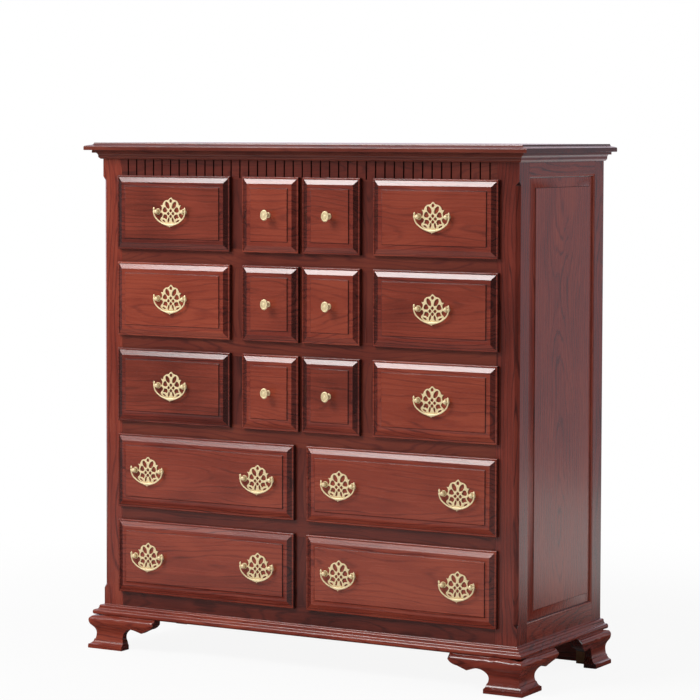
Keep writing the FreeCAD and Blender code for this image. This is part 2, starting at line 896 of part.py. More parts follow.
def foot_section():
    """Ogee section of a bracket: distance out from the case first, then height."""
    inner = -foot_inner_set_back
    waist = foot_waist_reach
    waist_z = foot_waist_height
    return [
        (inner, 0.0),
        (foot_pad_reach - 0.8, 0.0),
        (foot_pad_reach, 1.0),
        (foot_pad_reach, foot_pad_height),
        ((foot_pad_reach - 7.0, foot_pad_height + 3.0), (waist + 4.6, foot_pad_height + 10.0)),
        (waist + 4.3, foot_pad_height + 12.2),
        (waist + 2.2, foot_pad_height + 12.6),
        ((waist + 0.5, waist_z - 4.8), (waist, waist_z)),
        ((waist + 2.0, waist_z + 11.6), (waist + 8.2, waist_z + 20.5)),
        ((foot_bulge_reach - 1.4, foot_bulge_height - 6.4), (foot_bulge_reach, foot_bulge_height)),
        ((foot_bulge_reach - 2.4, case_bottom - 2.8), (foot_top_reach, case_bottom)),
        (inner, case_bottom),
    ]


def foot_outline(leg_extra):
    """Scroll-cut outline of a bracket along its length; leg_extra widens its leg."""
    pad = foot_pad_length + leg_extra
    waist = foot_waist_length + leg_extra
    arch_start = waist + 8.0
    arch_middle = (arch_start + foot_notch_length) / 2
    arch_rise = (foot_notch_length - arch_start) * 0.1
    return [
        (-60.0, 0.0),
        (pad, 0.0),
        (pad, foot_pad_height),
        (pad - 2.0, foot_pad_height + 4.0),
        (waist + 3.0, foot_pad_height + 9.5),
        ((waist, foot_waist_height + 1.0), (arch_start, foot_notch_height - 4.4)),
        ((arch_middle, foot_notch_height + arch_rise), (foot_notch_length, foot_notch_height)),
        (foot_drop_length, foot_drop_height),
        (foot_drop_length + 22.0, foot_drop_height + 11.0),
        ((foot_length - 8.0, foot_drop_height + 17.0), (foot_length, case_bottom - 8.0)),
        (foot_length, case_bottom),
        (-60.0, case_bottom),
    ]


def front_bracket():
    """Bracket under the right end of the front, mitred at the corner."""
    section = [flip_leg(leg, lambda p: (face_y - p[0], p[1])) for leg in foot_section()]
    bar = face_of(on_yz, section).extrude(Vector(foot_length + 60, 0, 0))
    bar.translate(Vector(half_case - foot_length, 0, 0))
    outline = [flip_leg(leg, lambda p: (half_case - p[0], p[1])) for leg in foot_outline(0.0)]
    board = face_of(on_xz, outline).extrude(Vector(0, 120, 0))
    board.translate(Vector(0, face_y - 60, 0))
    inner = foot_inner_set_back
    wedge = [
        (half_case + 60, face_y - 60),
        (half_case - inner, face_y + inner),
        (half_case - foot_length - 60, face_y + inner),
        (half_case - foot_length - 60, face_y - 60),
    ]
    mitre = face_of(on_xy, wedge).extrude(Vector(0, 0, case_bottom + 10))
    return bar.common(board).common(mitre).Solids[0]


def front_side_bracket():
    """Bracket under the front end of the right side, mitred to the front bracket."""
    section = [flip_leg(leg, lambda p: (half_case + p[0], p[1])) for leg in foot_section()]
    bar = face_of(on_xz, section).extrude(Vector(0, foot_length + 60, 0))
    bar.translate(Vector(0, face_y - 60, 0))
    outline = [flip_leg(leg, lambda p: (face_y + p[0], p[1])) for leg in foot_outline(0.0)]
    board = face_of(on_yz, outline).extrude(Vector(120, 0, 0))
    board.translate(Vector(half_case - 60, 0, 0))
    inner = foot_inner_set_back
    wedge = [
        (half_case + 60, face_y - 60),
        (half_case - inner, face_y + inner),
        (half_case - inner, face_y + foot_length + 60),
        (half_case + 60, face_y + foot_length + 60),
    ]
    mitre = face_of(on_xy, wedge).extrude(Vector(0, 0, case_bottom + 10))
    return bar.common(board).common(mitre).Solids[0]


def rear_side_bracket():
    """Bracket under the rear end of the right side, cut square at the back."""
    section = [flip_leg(leg, lambda p: (half_case + p[0], p[1])) for leg in foot_section()]
    bar = face_of(on_xz, section).extrude(Vector(0, foot_length, 0))
    bar.translate(Vector(0, back_y - foot_length, 0))
    outline = [flip_leg(leg, lambda p: (back_y - p[0], p[1])) for leg in foot_outline(rear_leg_extra)]
    board = face_of(on_yz, outline).extrude(Vector(120, 0, 0))
    board.translate(Vector(half_case - 60, 0, 0))
    return bar.common(board).Solids[0]


def bracket_feet():
    """Front and side brackets of all four feet and the plain rear boards."""
    inner = half_case - foot_inner_set_back
    rear_end = half_case - rear_board_length
    rear_board = block(rear_end, inner, back_y - rear_board_thickness, back_y, 0, case_bottom)
    solids = []
    for solid in (front_bracket(), front_side_bracket(), rear_side_bracket(), rear_board):
        solids += left_right(solid)
    return solids


def foot_blocks():
    """Square glue blocks in the corner of each foot, just clear of the floor."""
    outer = half_case - foot_inner_set_back
    front = face_y + foot_inner_set_back
    rear = back_y - rear_board_thickness
    front_block = block(outer - block_size, outer, front, front + block_size, block_floor_gap, case_bottom)
    rear_block = block(outer - block_size, outer, rear - block_size, rear, block_floor_gap, case_bottom)
    return left_right(front_block) + left_right(rear_block)


# Everything in place


def save_pulls(row, name, centre_x, width):
    """One node for the plates of a drawer and one for each bail."""
    plate_parts = pull_plate()
    swing = bail()
    z = front_bottom(row) + front_height / 2 + pull_above_centre
    face = field_y - plate_thickness
    places = pull_places(row, centre_x, width)
    plates = []
    for index, x in enumerate(places):
        plates += [slid(part, x, face, z) for part in plate_parts]
        ending = "" if len(places) == 1 else "_" + "ab"[index]
        save("bail_r{}_{}{}".format(row, name, ending), [slid(swing, x, face - post_stand, z)])
    save("pull_plates_r{}_{}".format(row, name), plates)


def save_knob(row, name, centre_x):
    """Knob and its screw."""
    z = front_bottom(row) + front_height / 2
    pieces = [slid(part, centre_x, field_y, z) for part in (knob(), knob_screw())]
    save("knob_r{}_{}".format(row, name), pieces)


def main():
    os.makedirs("parts", exist_ok=True)
    save("top_board", [top_board()])
    save("crown_moulding", crown_moulding())
    save("corner_posts", left_right(corner_post()))
    save("face_frame", face_frame())
    save("frieze_rail", [frieze_rail()])
    right_frame = side_frame()
    save("right_side_frame", right_frame)
    save("left_side_frame", [left_right(member)[1] for member in right_frame])
    save("side_panels", left_right(side_panel()))
    save("back_panel", [back_panel()])
    save("web_frames", web_frames())
    save("partitions", partitions())
    save("base_moulding", base_moulding())
    save("bracket_feet", bracket_feet())
    save("foot_blocks", foot_blocks())
    for row in range(1, row_count + 1):
        for name, centre_x, width in columns(row):
            save("drawer_r{}_{}".format(row, name), drawer(row, name, centre_x, width))
            if name.startswith("inner"):
                save_knob(row, name, centre_x)
            else:
                save_pulls(row, name, centre_x, width)


main()
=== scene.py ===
# %% [markdown]
# # A chest of sixteen drawers
#
# A stained cherry chest on bracket feet, with pierced brass pulls. Its boards were drawn in a
# CAD program first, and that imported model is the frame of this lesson: it says where each
# board is and what moves with what. The cells below build the surfaces one piece at a time
# with numpy, and then give them grain, varnish and brass.

# %% Open the frame
import json
import math
import bpy
import numpy as np
from mathutils import Matrix, Vector

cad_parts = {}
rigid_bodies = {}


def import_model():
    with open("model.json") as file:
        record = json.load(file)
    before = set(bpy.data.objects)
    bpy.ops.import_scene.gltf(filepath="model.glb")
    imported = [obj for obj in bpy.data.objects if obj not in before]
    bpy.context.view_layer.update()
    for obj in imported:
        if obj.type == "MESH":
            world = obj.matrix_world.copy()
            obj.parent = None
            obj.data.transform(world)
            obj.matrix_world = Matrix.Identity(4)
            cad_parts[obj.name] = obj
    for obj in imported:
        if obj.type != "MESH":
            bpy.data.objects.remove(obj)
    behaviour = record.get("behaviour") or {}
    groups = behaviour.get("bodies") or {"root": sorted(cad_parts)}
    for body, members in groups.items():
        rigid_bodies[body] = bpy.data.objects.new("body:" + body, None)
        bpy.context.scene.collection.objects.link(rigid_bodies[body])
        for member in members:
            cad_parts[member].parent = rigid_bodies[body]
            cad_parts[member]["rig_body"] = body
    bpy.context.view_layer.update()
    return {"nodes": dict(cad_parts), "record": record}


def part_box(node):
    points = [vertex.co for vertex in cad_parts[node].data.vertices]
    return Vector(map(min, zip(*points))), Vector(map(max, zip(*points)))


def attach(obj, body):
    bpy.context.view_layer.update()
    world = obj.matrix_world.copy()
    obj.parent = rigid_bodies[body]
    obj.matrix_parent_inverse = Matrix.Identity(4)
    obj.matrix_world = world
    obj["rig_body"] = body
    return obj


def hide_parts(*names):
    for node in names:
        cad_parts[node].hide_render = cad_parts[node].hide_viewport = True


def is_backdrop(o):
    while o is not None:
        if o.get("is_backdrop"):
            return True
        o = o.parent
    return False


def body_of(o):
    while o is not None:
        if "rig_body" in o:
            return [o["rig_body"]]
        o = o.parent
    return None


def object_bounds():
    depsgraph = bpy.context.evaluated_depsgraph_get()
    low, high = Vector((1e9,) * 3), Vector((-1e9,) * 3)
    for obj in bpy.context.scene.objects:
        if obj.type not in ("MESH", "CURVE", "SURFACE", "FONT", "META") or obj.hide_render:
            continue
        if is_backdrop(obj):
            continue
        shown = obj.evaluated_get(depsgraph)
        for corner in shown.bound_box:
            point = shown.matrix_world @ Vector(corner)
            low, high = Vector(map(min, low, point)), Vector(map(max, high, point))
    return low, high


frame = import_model()

# %% [markdown]
# ## Planes that the pieces share
#
# A cabinet maker works from a few faces: the front of the frame, the back, the outside of the
# posts, the top of the feet. They are read from the frame, so the lesson follows it if a size
# changes. All lengths are metres; millimetres are written as a number times MM.

# %% Planes of the case
MM = 0.001
face_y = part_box("face_frame")[0].y
back_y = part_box("back_panel")[1].y
half_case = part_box("corner_posts")[1].x
foot_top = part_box("corner_posts")[0].z
top_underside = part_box("corner_posts")[1].z
stock = 22 * MM
post_width = 57 * MM
post_depth = 52 * MM
rear_stile_depth = 50.5 * MM
moulding_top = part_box("base_moulding")[1].z
crown_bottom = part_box("crown_moulding")[0].z
print("case", round(2 * half_case, 4), "wide,", round(back_y - face_y, 4), "deep")

# %% [markdown]
# ## Camera
#
# The camera stands almost six metres away, a little above the drawers and to the right. Its
# place was worked out from the lines of the frieze and of the drawer fronts. A long lens keeps
# the verticals nearly upright, and a small shift frames the feet.

# %% Camera
camera_place = (3.4444, face_y - 5.7193, 1.3118)
camera_turn = math.radians(30.054)
camera_tilt = math.radians(-3.518)
camera_roll = math.radians(0.130)
camera_lens = 142.313
camera_shift = (-0.5 / 700, -49.5 / 700)

camera_data = bpy.data.cameras.new("camera")
camera_data.sensor_width = 36.0
camera_data.lens = camera_lens
camera_data.shift_x, camera_data.shift_y = camera_shift
camera = bpy.data.objects.new("camera", camera_data)
bpy.context.scene.collection.objects.link(camera)
aim = Matrix.Rotation(camera_turn, 4, "Z") @ Matrix.Rotation(math.pi / 2 + camera_tilt, 4, "X")
camera.matrix_world = Matrix.Translation(camera_place) @ aim @ Matrix.Rotation(camera_roll, 4, "Z")
bpy.context.scene.camera = camera
print("camera", [round(v, 3) for v in camera_place])

# %% [markdown]
# ## Shader arithmetic
#
# A material is a net of nodes. Writing it as Python expressions keeps it readable, so one
# small class holds an output socket and turns +, -, * and / into Math nodes. One method of the
# net makes every other node: its type, its settings, then the values or links of its sockets.

# %% Sockets that add and multiply
def sign(operation, reflected=False):
    """Operator method that adds a Math node; reflected puts the socket second, as in 1 - mask."""
    def method(self, other):
        return self.maths(operation, other, self) if reflected else self.maths(operation, self, other)
    return method


class Wire:
    """One output socket of a node, used in expressions like a number."""

    def __init__(self, net, socket):
        self.net = net
        self.socket = socket

    def maths(self, operation, first, second=0.0):
        return self.net.make("Math", {"operation": operation}, {0: first, 1: second})

    __add__ = __radd__ = sign("ADD")
    __mul__ = __rmul__ = sign("MULTIPLY")
    __sub__, __rsub__ = sign("SUBTRACT"), sign("SUBTRACT", True)
    __truediv__, __rtruediv__ = sign("DIVIDE"), sign("DIVIDE", True)
    __pow__, __rpow__ = sign("POWER"), sign("POWER", True)

    def step(self, low, high):
        """0 below low, 1 above high, and a smooth slope between."""
        settings = {"interpolation_type": "SMOOTHSTEP"}
        return self.net.make("MapRange", settings, {"Value": self, "From Min": low, "From Max": high})


class Net:
    """The node tree of a material or a world while it is being filled."""

    def __init__(self, owner):
        owner.use_nodes = True
        self.tree = owner.node_tree
        self.tree.nodes.clear()

    def make(self, kind, settings=None, values=None, output=0):
        """Adds a node of a type, with settings, then values or links; returns one output."""
        node = self.tree.nodes.new("ShaderNode" + kind)
        for key, value in (settings or {}).items():
            if key == "stops":
                self.set_stops(node.color_ramp.elements, value)
            else:
                setattr(node, key, value)
        for key, value in (values or {}).items():
            if isinstance(value, Wire):
                self.tree.links.new(value.socket, node.inputs[key])
            else:
                node.inputs[key].default_value = value
        return Wire(self, node.outputs[output]) if node.outputs else node

    def set_stops(self, elements, stops):
        while len(elements) < len(stops):
            elements.new(1.0)
        for element, (position, colour) in zip(elements, stops):
            element.position = position
            element.color = (*colour, 1.0)

    def blend(self, factor, first, second):
        """Mix of two colours: the factor is 0 for the first and 1 for the second."""
        values = {0: factor, 6: first, 7: second}
        return self.make("Mix", {"data_type": "RGBA"}, values, 2)

    def carried(self, label, output="Fac"):
        """An attribute that the mesh carries."""
        return self.make("Attribute", {"attribute_name": label}, None, output)

    def part(self, vector, axis):
        """One coordinate of a vector."""
        return self.make("SeparateXYZ", None, {"Vector": vector}, axis)

    def ray(self, kind):
        """1 for rays of a kind, 0 for the others."""
        return self.make("LightPath", None, None, f"Is {kind} Ray")

    def noise(self, place, stretch, detail=3.0, roughness=0.55):
        """Noise from 0 to 1 at a place stretched by a number per axis."""
        scaled = self.make("VectorMath", {"operation": "MULTIPLY"}, {0: place, 1: stretch})
        values = {"Vector": scaled, "Scale": 1.0, "Detail": detail, "Roughness": roughness}
        return self.make("TexNoise", None, values)


print("shader arithmetic is ready")

# %% [markdown]
# ## Cherry under a reddish stain
#
# A board is a slice through a tree. Its rings are circles round the pith, so a flat board
# shows them as tall arches, where the slice wanders nearer to and further from the pith. The
# material rebuilds that: every point carries its place in the board as an attribute named
# grain (along the board, across it, through it), and the distance to a wandering pith line
# gives the rings, drawn as thin dark lines. Finer noise, drawn out along the board, makes
# streaks and pores. A second attribute, edge, says where dark glaze and painted shade go, in recesses, at
# steps and on the lips' outer sides (-1), and where an arris was rubbed (+1). A third, tone, makes each board
# a little darker or lighter
# than the next. A fourth, fibre, points along the board: a surface cut across the fibres is
# end grain, which drinks more stain, and so the bevels at the ends of the fronts are darker.
# The rails, the frieze, the crown and the top are painted darker than the fronts, as painted shade: the proud
# fronts and the overhanging top shade the rails, the frieze and the crown.

# %% Colours and gloss of the woods
cherry_colours = [(0.0, (0.040, 0.0052, 0.0038)), (0.34, (0.125, 0.0165, 0.0098)),
                  (0.60, (0.225, 0.031, 0.0165)), (1.0, (0.37, 0.066, 0.030))]
# Painted shade: the rails, frieze, crown and top take the stain colours darkened to 62 per cent.
shade_darkened_colours = [(stop, tuple(0.62 * c for c in colour)) for stop, colour in cherry_colours]
plain_colours = [(0.0, (0.25, 0.115, 0.045)), (0.4, (0.44, 0.228, 0.103)),
                 (0.7, (0.56, 0.315, 0.155)), (1.0, (0.66, 0.41, 0.225))]
# The glue blocks are painted much darker than plain wood, as painted shade: they sit in the dark under the
# case.
shaded_block_colours = [(stop, (0.42 * r, 0.36 * g, 0.32 * b)) for stop, (r, g, b) in plain_colours]
# The colour of dark glaze and painted shade in recesses and on the lips' outer sides.
glaze_and_shade_colour = (0.012, 0.0035, 0.0025, 1.0)
ring_spacing = 0.0095
pith_depth = 0.040
print("cherry has", len(cherry_colours), "stain colours")


# %% A wood made of rings, streaks and pores
def board_wood(name, colours, gloss, coat, pore_depth, figure):
    """Wood material: rings are the distance to a wandering pith line, over the ring spacing."""
    material = bpy.data.materials.new(name)
    net = Net(material)
    grain = net.carried("grain", "Vector")
    tone = net.carried("tone")
    edge = net.carried("edge")
    fibre = net.carried("fibre", "Vector")
    facing = net.make("TexCoord", None, None, "Normal")
    cut = net.make("VectorMath", {"operation": "DOT_PRODUCT"}, {0: fibre, 1: facing}, "Value")
    end_grain = cut.maths("ABSOLUTE", cut).step(0.10, 0.42)
    wander = net.noise(grain, (1.5, 2.2, 2.2), 1.5)
    sway = net.noise(grain, (2.6, 5.0, 5.0), 1.0)
    ripple = net.noise(grain, (7.0, 45.0, 45.0), 2.0)
    pith_away = net.part(grain, "Z") + pith_depth + (wander - 0.5) * 0.20
    pith_side = net.part(grain, "Y") + (sway - 0.5) * 0.06
    radius = (pith_side * pith_side + pith_away * pith_away) ** 0.5
    rings = radius / ring_spacing + ripple * 1.3
    wave = rings.maths("SINE", rings * (2 * math.pi)) * 0.5 + 0.5
    streak = net.noise(grain, (3.2, 105.0, 105.0), 4.0, 0.62)
    blotch = net.noise(grain, (4.5, 11.0, 11.0), 2.0)
    line = wave ** 5.0 * streak.step(0.25, 0.75)
    pores = net.noise(grain, (75.0, 1500.0, 1500.0), 2.0, 0.5).step(0.60, 0.74)
    shade = streak * 0.62 + blotch * 0.70 + wave * 0.08 - line * figure
    shade = shade + tone * 0.17 - end_grain * 0.46
    colour = net.make("ValToRGB", {"stops": colours}, {"Fac": shade - 0.07})
    darkest, palest = colours[0][1], colours[-1][1]
    colour = net.blend(pores * 0.35, colour, (*(0.5 * c for c in darkest), 1.0))
    worn = edge.step(0.0, 1.0) * (blotch * 0.7)
    colour = net.blend(worn, colour, (*palest, 1.0))
    # Below 0, edge paints dark glaze and painted shade: recesses, steps and the lips' outer sides go nearly
    # black.
    sunk = (0.0 - edge).step(0.0, 1.0)
    colour = net.blend(sunk * 0.9, colour, glaze_and_shade_colour)
    relief = streak * 0.35 - pores * pore_depth - line * 0.25
    bump = net.make("Bump", None, {"Strength": 0.35, "Distance": 0.00012, "Height": relief})
    rough = gloss + (streak - 0.5) * 0.12 + (blotch - 0.5) * 0.1 + sunk * 0.2 + pores * 0.1
    shader = net.make("BsdfPrincipled", None, {
        "Base Color": colour, "Roughness": rough, "Normal": bump,
        "Coat Weight": coat, "Coat Roughness": 0.16, "IOR": 1.48})
    net.make("OutputMaterial", None, {"Surface": shader})
    return material


stained_cherry = board_wood("stained_cherry", cherry_colours, 0.27, 0.5, 0.8, 0.60)
frame_cherry = board_wood("frame_cherry", shade_darkened_colours, 0.30, 0.4, 0.8, 0.50)
plain_wood = board_wood("plain_wood", plain_colours, 0.62, 0.0, 1.0, 0.22)
aged_wood = board_wood("aged_wood", shaded_block_colours, 0.70, 0.0, 1.0, 0.22)
print("woods:", stained_cherry.name, plain_wood.name)

# %% [markdown]
# ## Brass of the pulls and knobs
#
# The pulls are cast, pierced and polished on their high parts, with olive tarnish left in the
# openings and round the posts. A metal takes its colour from what it mirrors, so the material
# only sets a golden base, lets a fine noise change the polish, and darkens by the same edge
# attribute.

# %% Polished and tarnished brass
def cast_brass(name, polished, tarnished):
    """Metal: tarnish grows where edge is below 0 and where a soft noise is high."""
    material = bpy.data.materials.new(name)
    net = Net(material)
    place = net.make("TexCoord", None, None, "Object")
    edge = net.carried("edge")
    cloud = net.noise(place, (190.0, 190.0, 190.0), 3.0)
    grit = net.noise(place, (900.0, 900.0, 900.0), 2.0)
    sunk = (0.0 - edge).step(-0.05, 1.0)
    tarnish = (cloud.step(0.50, 0.80) * 0.35 + sunk * 0.8).step(0.0, 1.0)
    colour = net.blend(tarnish, polished, tarnished)
    bump = net.make("Bump", None, {"Strength": 0.25, "Distance": 0.0002, "Height": cloud + grit * 0.3})
    rough = 0.40 + tarnish * 0.2 + grit * 0.1
    shader = net.make("BsdfPrincipled", None, {
        "Base Color": colour, "Roughness": rough, "Normal": bump, "Metallic": 0.25})
    net.make("OutputMaterial", None, {"Surface": shader})
    return material


brass = cast_brass("brass", (1.0, 0.82, 0.49, 1.0), (0.30, 0.18, 0.06, 1.0))
print("metal:", brass.name)

# %% [markdown]
# ## Surfaces from rings
#
# Nearly every piece of a chest is a loft: a closed outline carried from place to place. A
# turned knob is a circle carried along its axis, a moulding is a profile carried along the
# case, and a raised drawer front is a rectangle that shrinks while it rises. One function
# joins the rings with quads and closes the ends. A shell whose volume comes out negative is
# inside out, so its faces are turned round.

# %% Loft a stack of rings
def outwards(points, faces):
    """Faces turned so that the closed shell's signed volume is positive."""
    first = np.array([f[0] for f in faces for _ in range(len(f) - 2)])
    second = np.array([f[k] for f in faces for k in range(1, len(f) - 1)])
    third = np.array([f[k] for f in faces for k in range(2, len(f))])
    normal = np.cross(points[second] - points[first], points[third] - points[first])
    volume = np.einsum("ij,ij->i", points[first] - points.mean(axis=0), normal).sum()
    return [f[::-1] for f in faces] if volume < 0 else faces


def loft(rings, edge=None, joined=False):
    """Shell through rings (count, points, 3); joined leads the last ring back to the first."""
    count, size = rings.shape[:2]
    points = rings.reshape(-1, 3)
    ring = np.arange(count if joined else count - 1)[:, None] * size
    here = ring + np.arange(size)
    beside = ring + (np.arange(size) + 1) % size
    wrap = count * size
    quads = np.stack([here, beside, (beside + size) % wrap, (here + size) % wrap], axis=-1)
    faces = quads.reshape(-1, 4).tolist()
    if not joined:
        faces += [list(range(size))[::-1], list(range((count - 1) * size, count * size))]
    edge_marks = np.zeros(count) if edge is None else np.asarray(edge, float)
    return points, outwards(points, faces), np.repeat(edge_marks, size)


print("loft of two squares:", len(loft(np.zeros((2, 4, 3)))[1]), "faces")

# %% [markdown]
# ## Profiles
#
# A moulding plane leaves straight flats, quarter rounds and hollows. A profile is written as a
# list of legs, as on the maker's drawing: a point is a straight leg, and a pair is an arc
# through a middle point. Real arrises are never knife sharp, so every corner is rounded a
# little, which is what catches the light.

# %% Flats and arcs
def arc(start, middle, end, count=7):
    """Points on the circle through three points: its centre is equally far from all three."""
    start, middle, end = (np.array(p, float) for p in (start, middle, end))
    sides = 2 * np.array([middle - start, end - start])
    squares = np.array([middle @ middle - start @ start, end @ end - start @ start])
    centre = np.linalg.solve(sides, squares)
    radius = np.linalg.norm(start - centre)
    angles = [math.atan2(*(p - centre)[::-1]) for p in (start, middle, end)]
    turns = (np.diff(angles) + math.pi) % (2 * math.pi) - math.pi
    sweep = angles[0] + turns.sum() * np.arange(1, count + 1) / count
    return centre + radius * np.stack([np.cos(sweep), np.sin(sweep)], axis=1)


def profile(legs, count=7):
    """Points in metres along a drawing in millimetres of points and (middle, end) arcs."""
    points = [np.array([legs[0]], float)]
    for leg in legs[1:]:
        straight = not isinstance(leg[0], tuple)
        points.append(np.array([leg], float) if straight else arc(points[-1][-1], *leg, count))
    return np.concatenate(points) * MM


def eased(points, ease):
    """Closed outline with each corner replaced by a short curve through three points."""
    back = np.roll(points, 1, axis=0) - points
    ahead = np.roll(points, -1, axis=0) - points
    back_length = np.linalg.norm(back, axis=1, keepdims=True)
    ahead_length = np.linalg.norm(ahead, axis=1, keepdims=True)
    start = points + back / back_length * np.minimum(ease, back_length * 0.35)
    end = points + ahead / ahead_length * np.minimum(ease, ahead_length * 0.35)
    middle = (start + end) / 4 + points / 2
    return np.stack([start, middle, end], axis=1).reshape(-1, 2)


print("a quarter round has", len(arc((0, 0), (0.3, 0.7), (1, 1))), "points")

# %% [markdown]
# ## From shells to a piece
#
# A piece may hold many boards, and each board has its own grain. The longest side of a board
# is taken as its grain direction and the shortest as its thickness, as a maker would saw it.
# Every board gets its own stretch of the noise by a shift along the grain.

# %% Grain of a board and the finished object
board_number = 0
smooth_below = math.radians(27)


def grain_of(points, axes=None):
    """Along, across and through coordinates from a board's middle, shifted per board."""
    global board_number
    board_number += 1
    luck = np.random.default_rng(board_number).uniform(-1, 1, 3)
    low, high = points.min(axis=0), points.max(axis=0)
    if axes is None:
        axes = np.argsort(low - high, kind="stable")
    local = (points - (low + high) / 2)[:, axes]
    shift = np.array([board_number * 1.37 % 29.0, 0.03 * luck[0], 0.012 * luck[1]])
    fibre = np.tile(np.eye(3)[axes[0]], (len(points), 1))
    return local + shift, np.full(len(points), luck[2]), fibre


def finish_piece(name, shells, node):
    """One object from (points, faces, edge, material, axes) shells, instead of a CAD node."""
    points, faces, edge_marks, grain, tone, fibre, slots, materials = [[] for _ in range(8)]
    start = 0
    for shell in shells:
        place, shell_faces, edge, material, axes = shell
        if material not in materials:
            materials.append(material)
        along, shade, run = grain_of(place, axes)
        points.append(place)
        edge_marks.append(edge)
        grain.append(along)
        tone.append(shade)
        fibre.append(run)
        faces += [[index + start for index in face] for face in shell_faces]
        slots += [materials.index(material)] * len(shell_faces)
        start += len(place)
    mesh = bpy.data.meshes.new(name)
    mesh.from_pydata(np.concatenate(points), [], faces)
    for label, values in (("grain", grain), ("fibre", fibre)):
        mesh.attributes.new(label, "FLOAT_VECTOR", "POINT").data.foreach_set(
            "vector", np.concatenate(values).ravel())
    mesh.attributes.new("edge", "FLOAT", "POINT").data.foreach_set("value", np.concatenate(edge_marks))
    mesh.attributes.new("tone", "FLOAT", "POINT").data.foreach_set("value", np.concatenate(tone))
    for material in materials:
        mesh.materials.append(material)
    mesh.polygons.foreach_set("material_index", slots)
    mesh.polygons.foreach_set("use_smooth", [True] * len(faces))
    mesh.set_sharp_from_angle(angle=smooth_below)
    mesh.update()
    piece = bpy.data.objects.new(name, mesh)
    bpy.context.scene.collection.objects.link(piece)
    even = piece.modifiers.new("even_normals", "WEIGHTED_NORMAL")
    even.keep_sharp = True
    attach(piece, body_of(frame["nodes"][node])[0])
    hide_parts(node)


def dressed(shell, axes=None, material=stained_cherry):
    """A shell with its material and, where the longest side isn't the grain, its axes."""
    return (*shell, material, axes)


along_x, along_y, along_z = [0, 2, 1], [1, 2, 0], [2, 0, 1]
side_axes = [2, 1, 0]
print("grain axes:", along_x, along_y, along_z)

# %% [markdown]
# ## Plain boards
#
# Rails, stiles, runners, partitions and drawer sides are plain boards. In the frame each one
# is a box of twelve triangles, so reading the triangles in runs of twelve gives every board's
# corners. Each is rebuilt with its eight corners cut back on three sides, which leaves a fine
# chamfer on every edge.

# %% Board with eased edges
corner_signs = np.array([(x, y, z) for x in (-1, 1) for y in (-1, 1) for z in (-1, 1)])


def board_faces():
    """Faces of a box with cut edges: 6 sides, 12 edges, 8 corners, on points 3 * corner + axis."""
    faces = []
    for axis in range(3):
        u, v = [a for a in range(3) if a != axis]
        for sign in (-1, 1):
            ring = [(-1, -1), (1, -1), (1, 1), (-1, 1)]
            want = [{axis: sign, u: a, v: b} for a, b in ring]
            faces.append([3 * corner_index(w) + axis for w in want])
            for side in (-1, 1):
                ends = [corner_index({axis: end, u: sign, v: side}) for end in (-1, 1)]
                faces.append([3 * ends[0] + u, 3 * ends[1] + u, 3 * ends[1] + v, 3 * ends[0] + v])
    faces += [[3 * c, 3 * c + 1, 3 * c + 2] for c in range(8)]
    return faces


def corner_index(signs):
    return int((signs[0] + 1) * 2 + (signs[1] + 1) + (signs[2] + 1) // 2)


def turned_out(faces):
    """Faces of a box round the origin, each turned so that its normal points away from it."""
    inset = 1 - 0.1 * (1 - np.tile(np.eye(3), (8, 1)))
    points = np.repeat(corner_signs, 3, axis=0) * inset
    out = []
    for face in faces:
        a, b, c = points[face[:3]]
        out.append(face if np.cross(b - a, c - a) @ points[face].mean(axis=0) > 0 else face[::-1])
    return out


box_faces = turned_out(board_faces())


def board(low, high, ease=0.7 * MM):
    """Box between two corners: each corner point is pulled in by ease on the other two axes."""
    low, high = np.array(low, float), np.array(high, float)
    pull = ease * (1 - np.tile(np.eye(3), (8, 1)))
    points = (low + high) / 2 + np.repeat(corner_signs, 3, axis=0) * ((high - low) / 2 - pull)
    return points, box_faces, np.zeros(24)


print("a board has", len(box_faces), "faces")


# %% Boards of a CAD node
def board_boxes(node):
    """Lowest and highest corners of a node's boards, from its triangles in runs of twelve."""
    mesh = frame["nodes"][node].data
    place = np.empty(len(mesh.vertices) * 3, np.float32)
    mesh.vertices.foreach_get("co", place)
    corner = np.empty(len(mesh.loops), np.int32)
    mesh.loops.foreach_get("vertex_index", corner)
    boxes = place.reshape(-1, 3)[corner].reshape(-1, 36, 3).astype(float)
    return boxes.min(axis=1), boxes.max(axis=1)


def plain_boards(node, name, material=plain_wood, ease=0.7 * MM):
    """A piece that rebuilds every box of a CAD node as a board with eased edges."""
    low, high = board_boxes(node)
    finish_piece(name, [dressed(board(a, b, ease), None, material) for a, b in zip(low, high)], node)


plain_boards("face_frame", "rails_and_uprights", frame_cherry, 0.2 * MM)
plain_boards("web_frames", "runners_and_dust_boards")
plain_boards("partitions", "walls_between_drawers")
plain_boards("back_panel", "back_boards")
# The glue blocks take the darkened wood: painted shade.
plain_boards("foot_blocks", "glue_blocks", aged_wood)
print("boards so far:", board_number)

# %% [markdown]
# ## Posts with a stopped chamfer
#
# The two front posts are square. Their outer corner is planed off between the top and bottom
# drawers, and the cut runs out in a short curve at each end. The section is a rectangle whose
# outer corner is cut by a leg that depends on the height, and it is lofted upwards.

# %% Corner posts
chamfer_leg = 9 * MM
arris = 0.8 * MM
run_out = 12 * MM
chamfer_ends = (152 * MM, 1195.7 * MM)


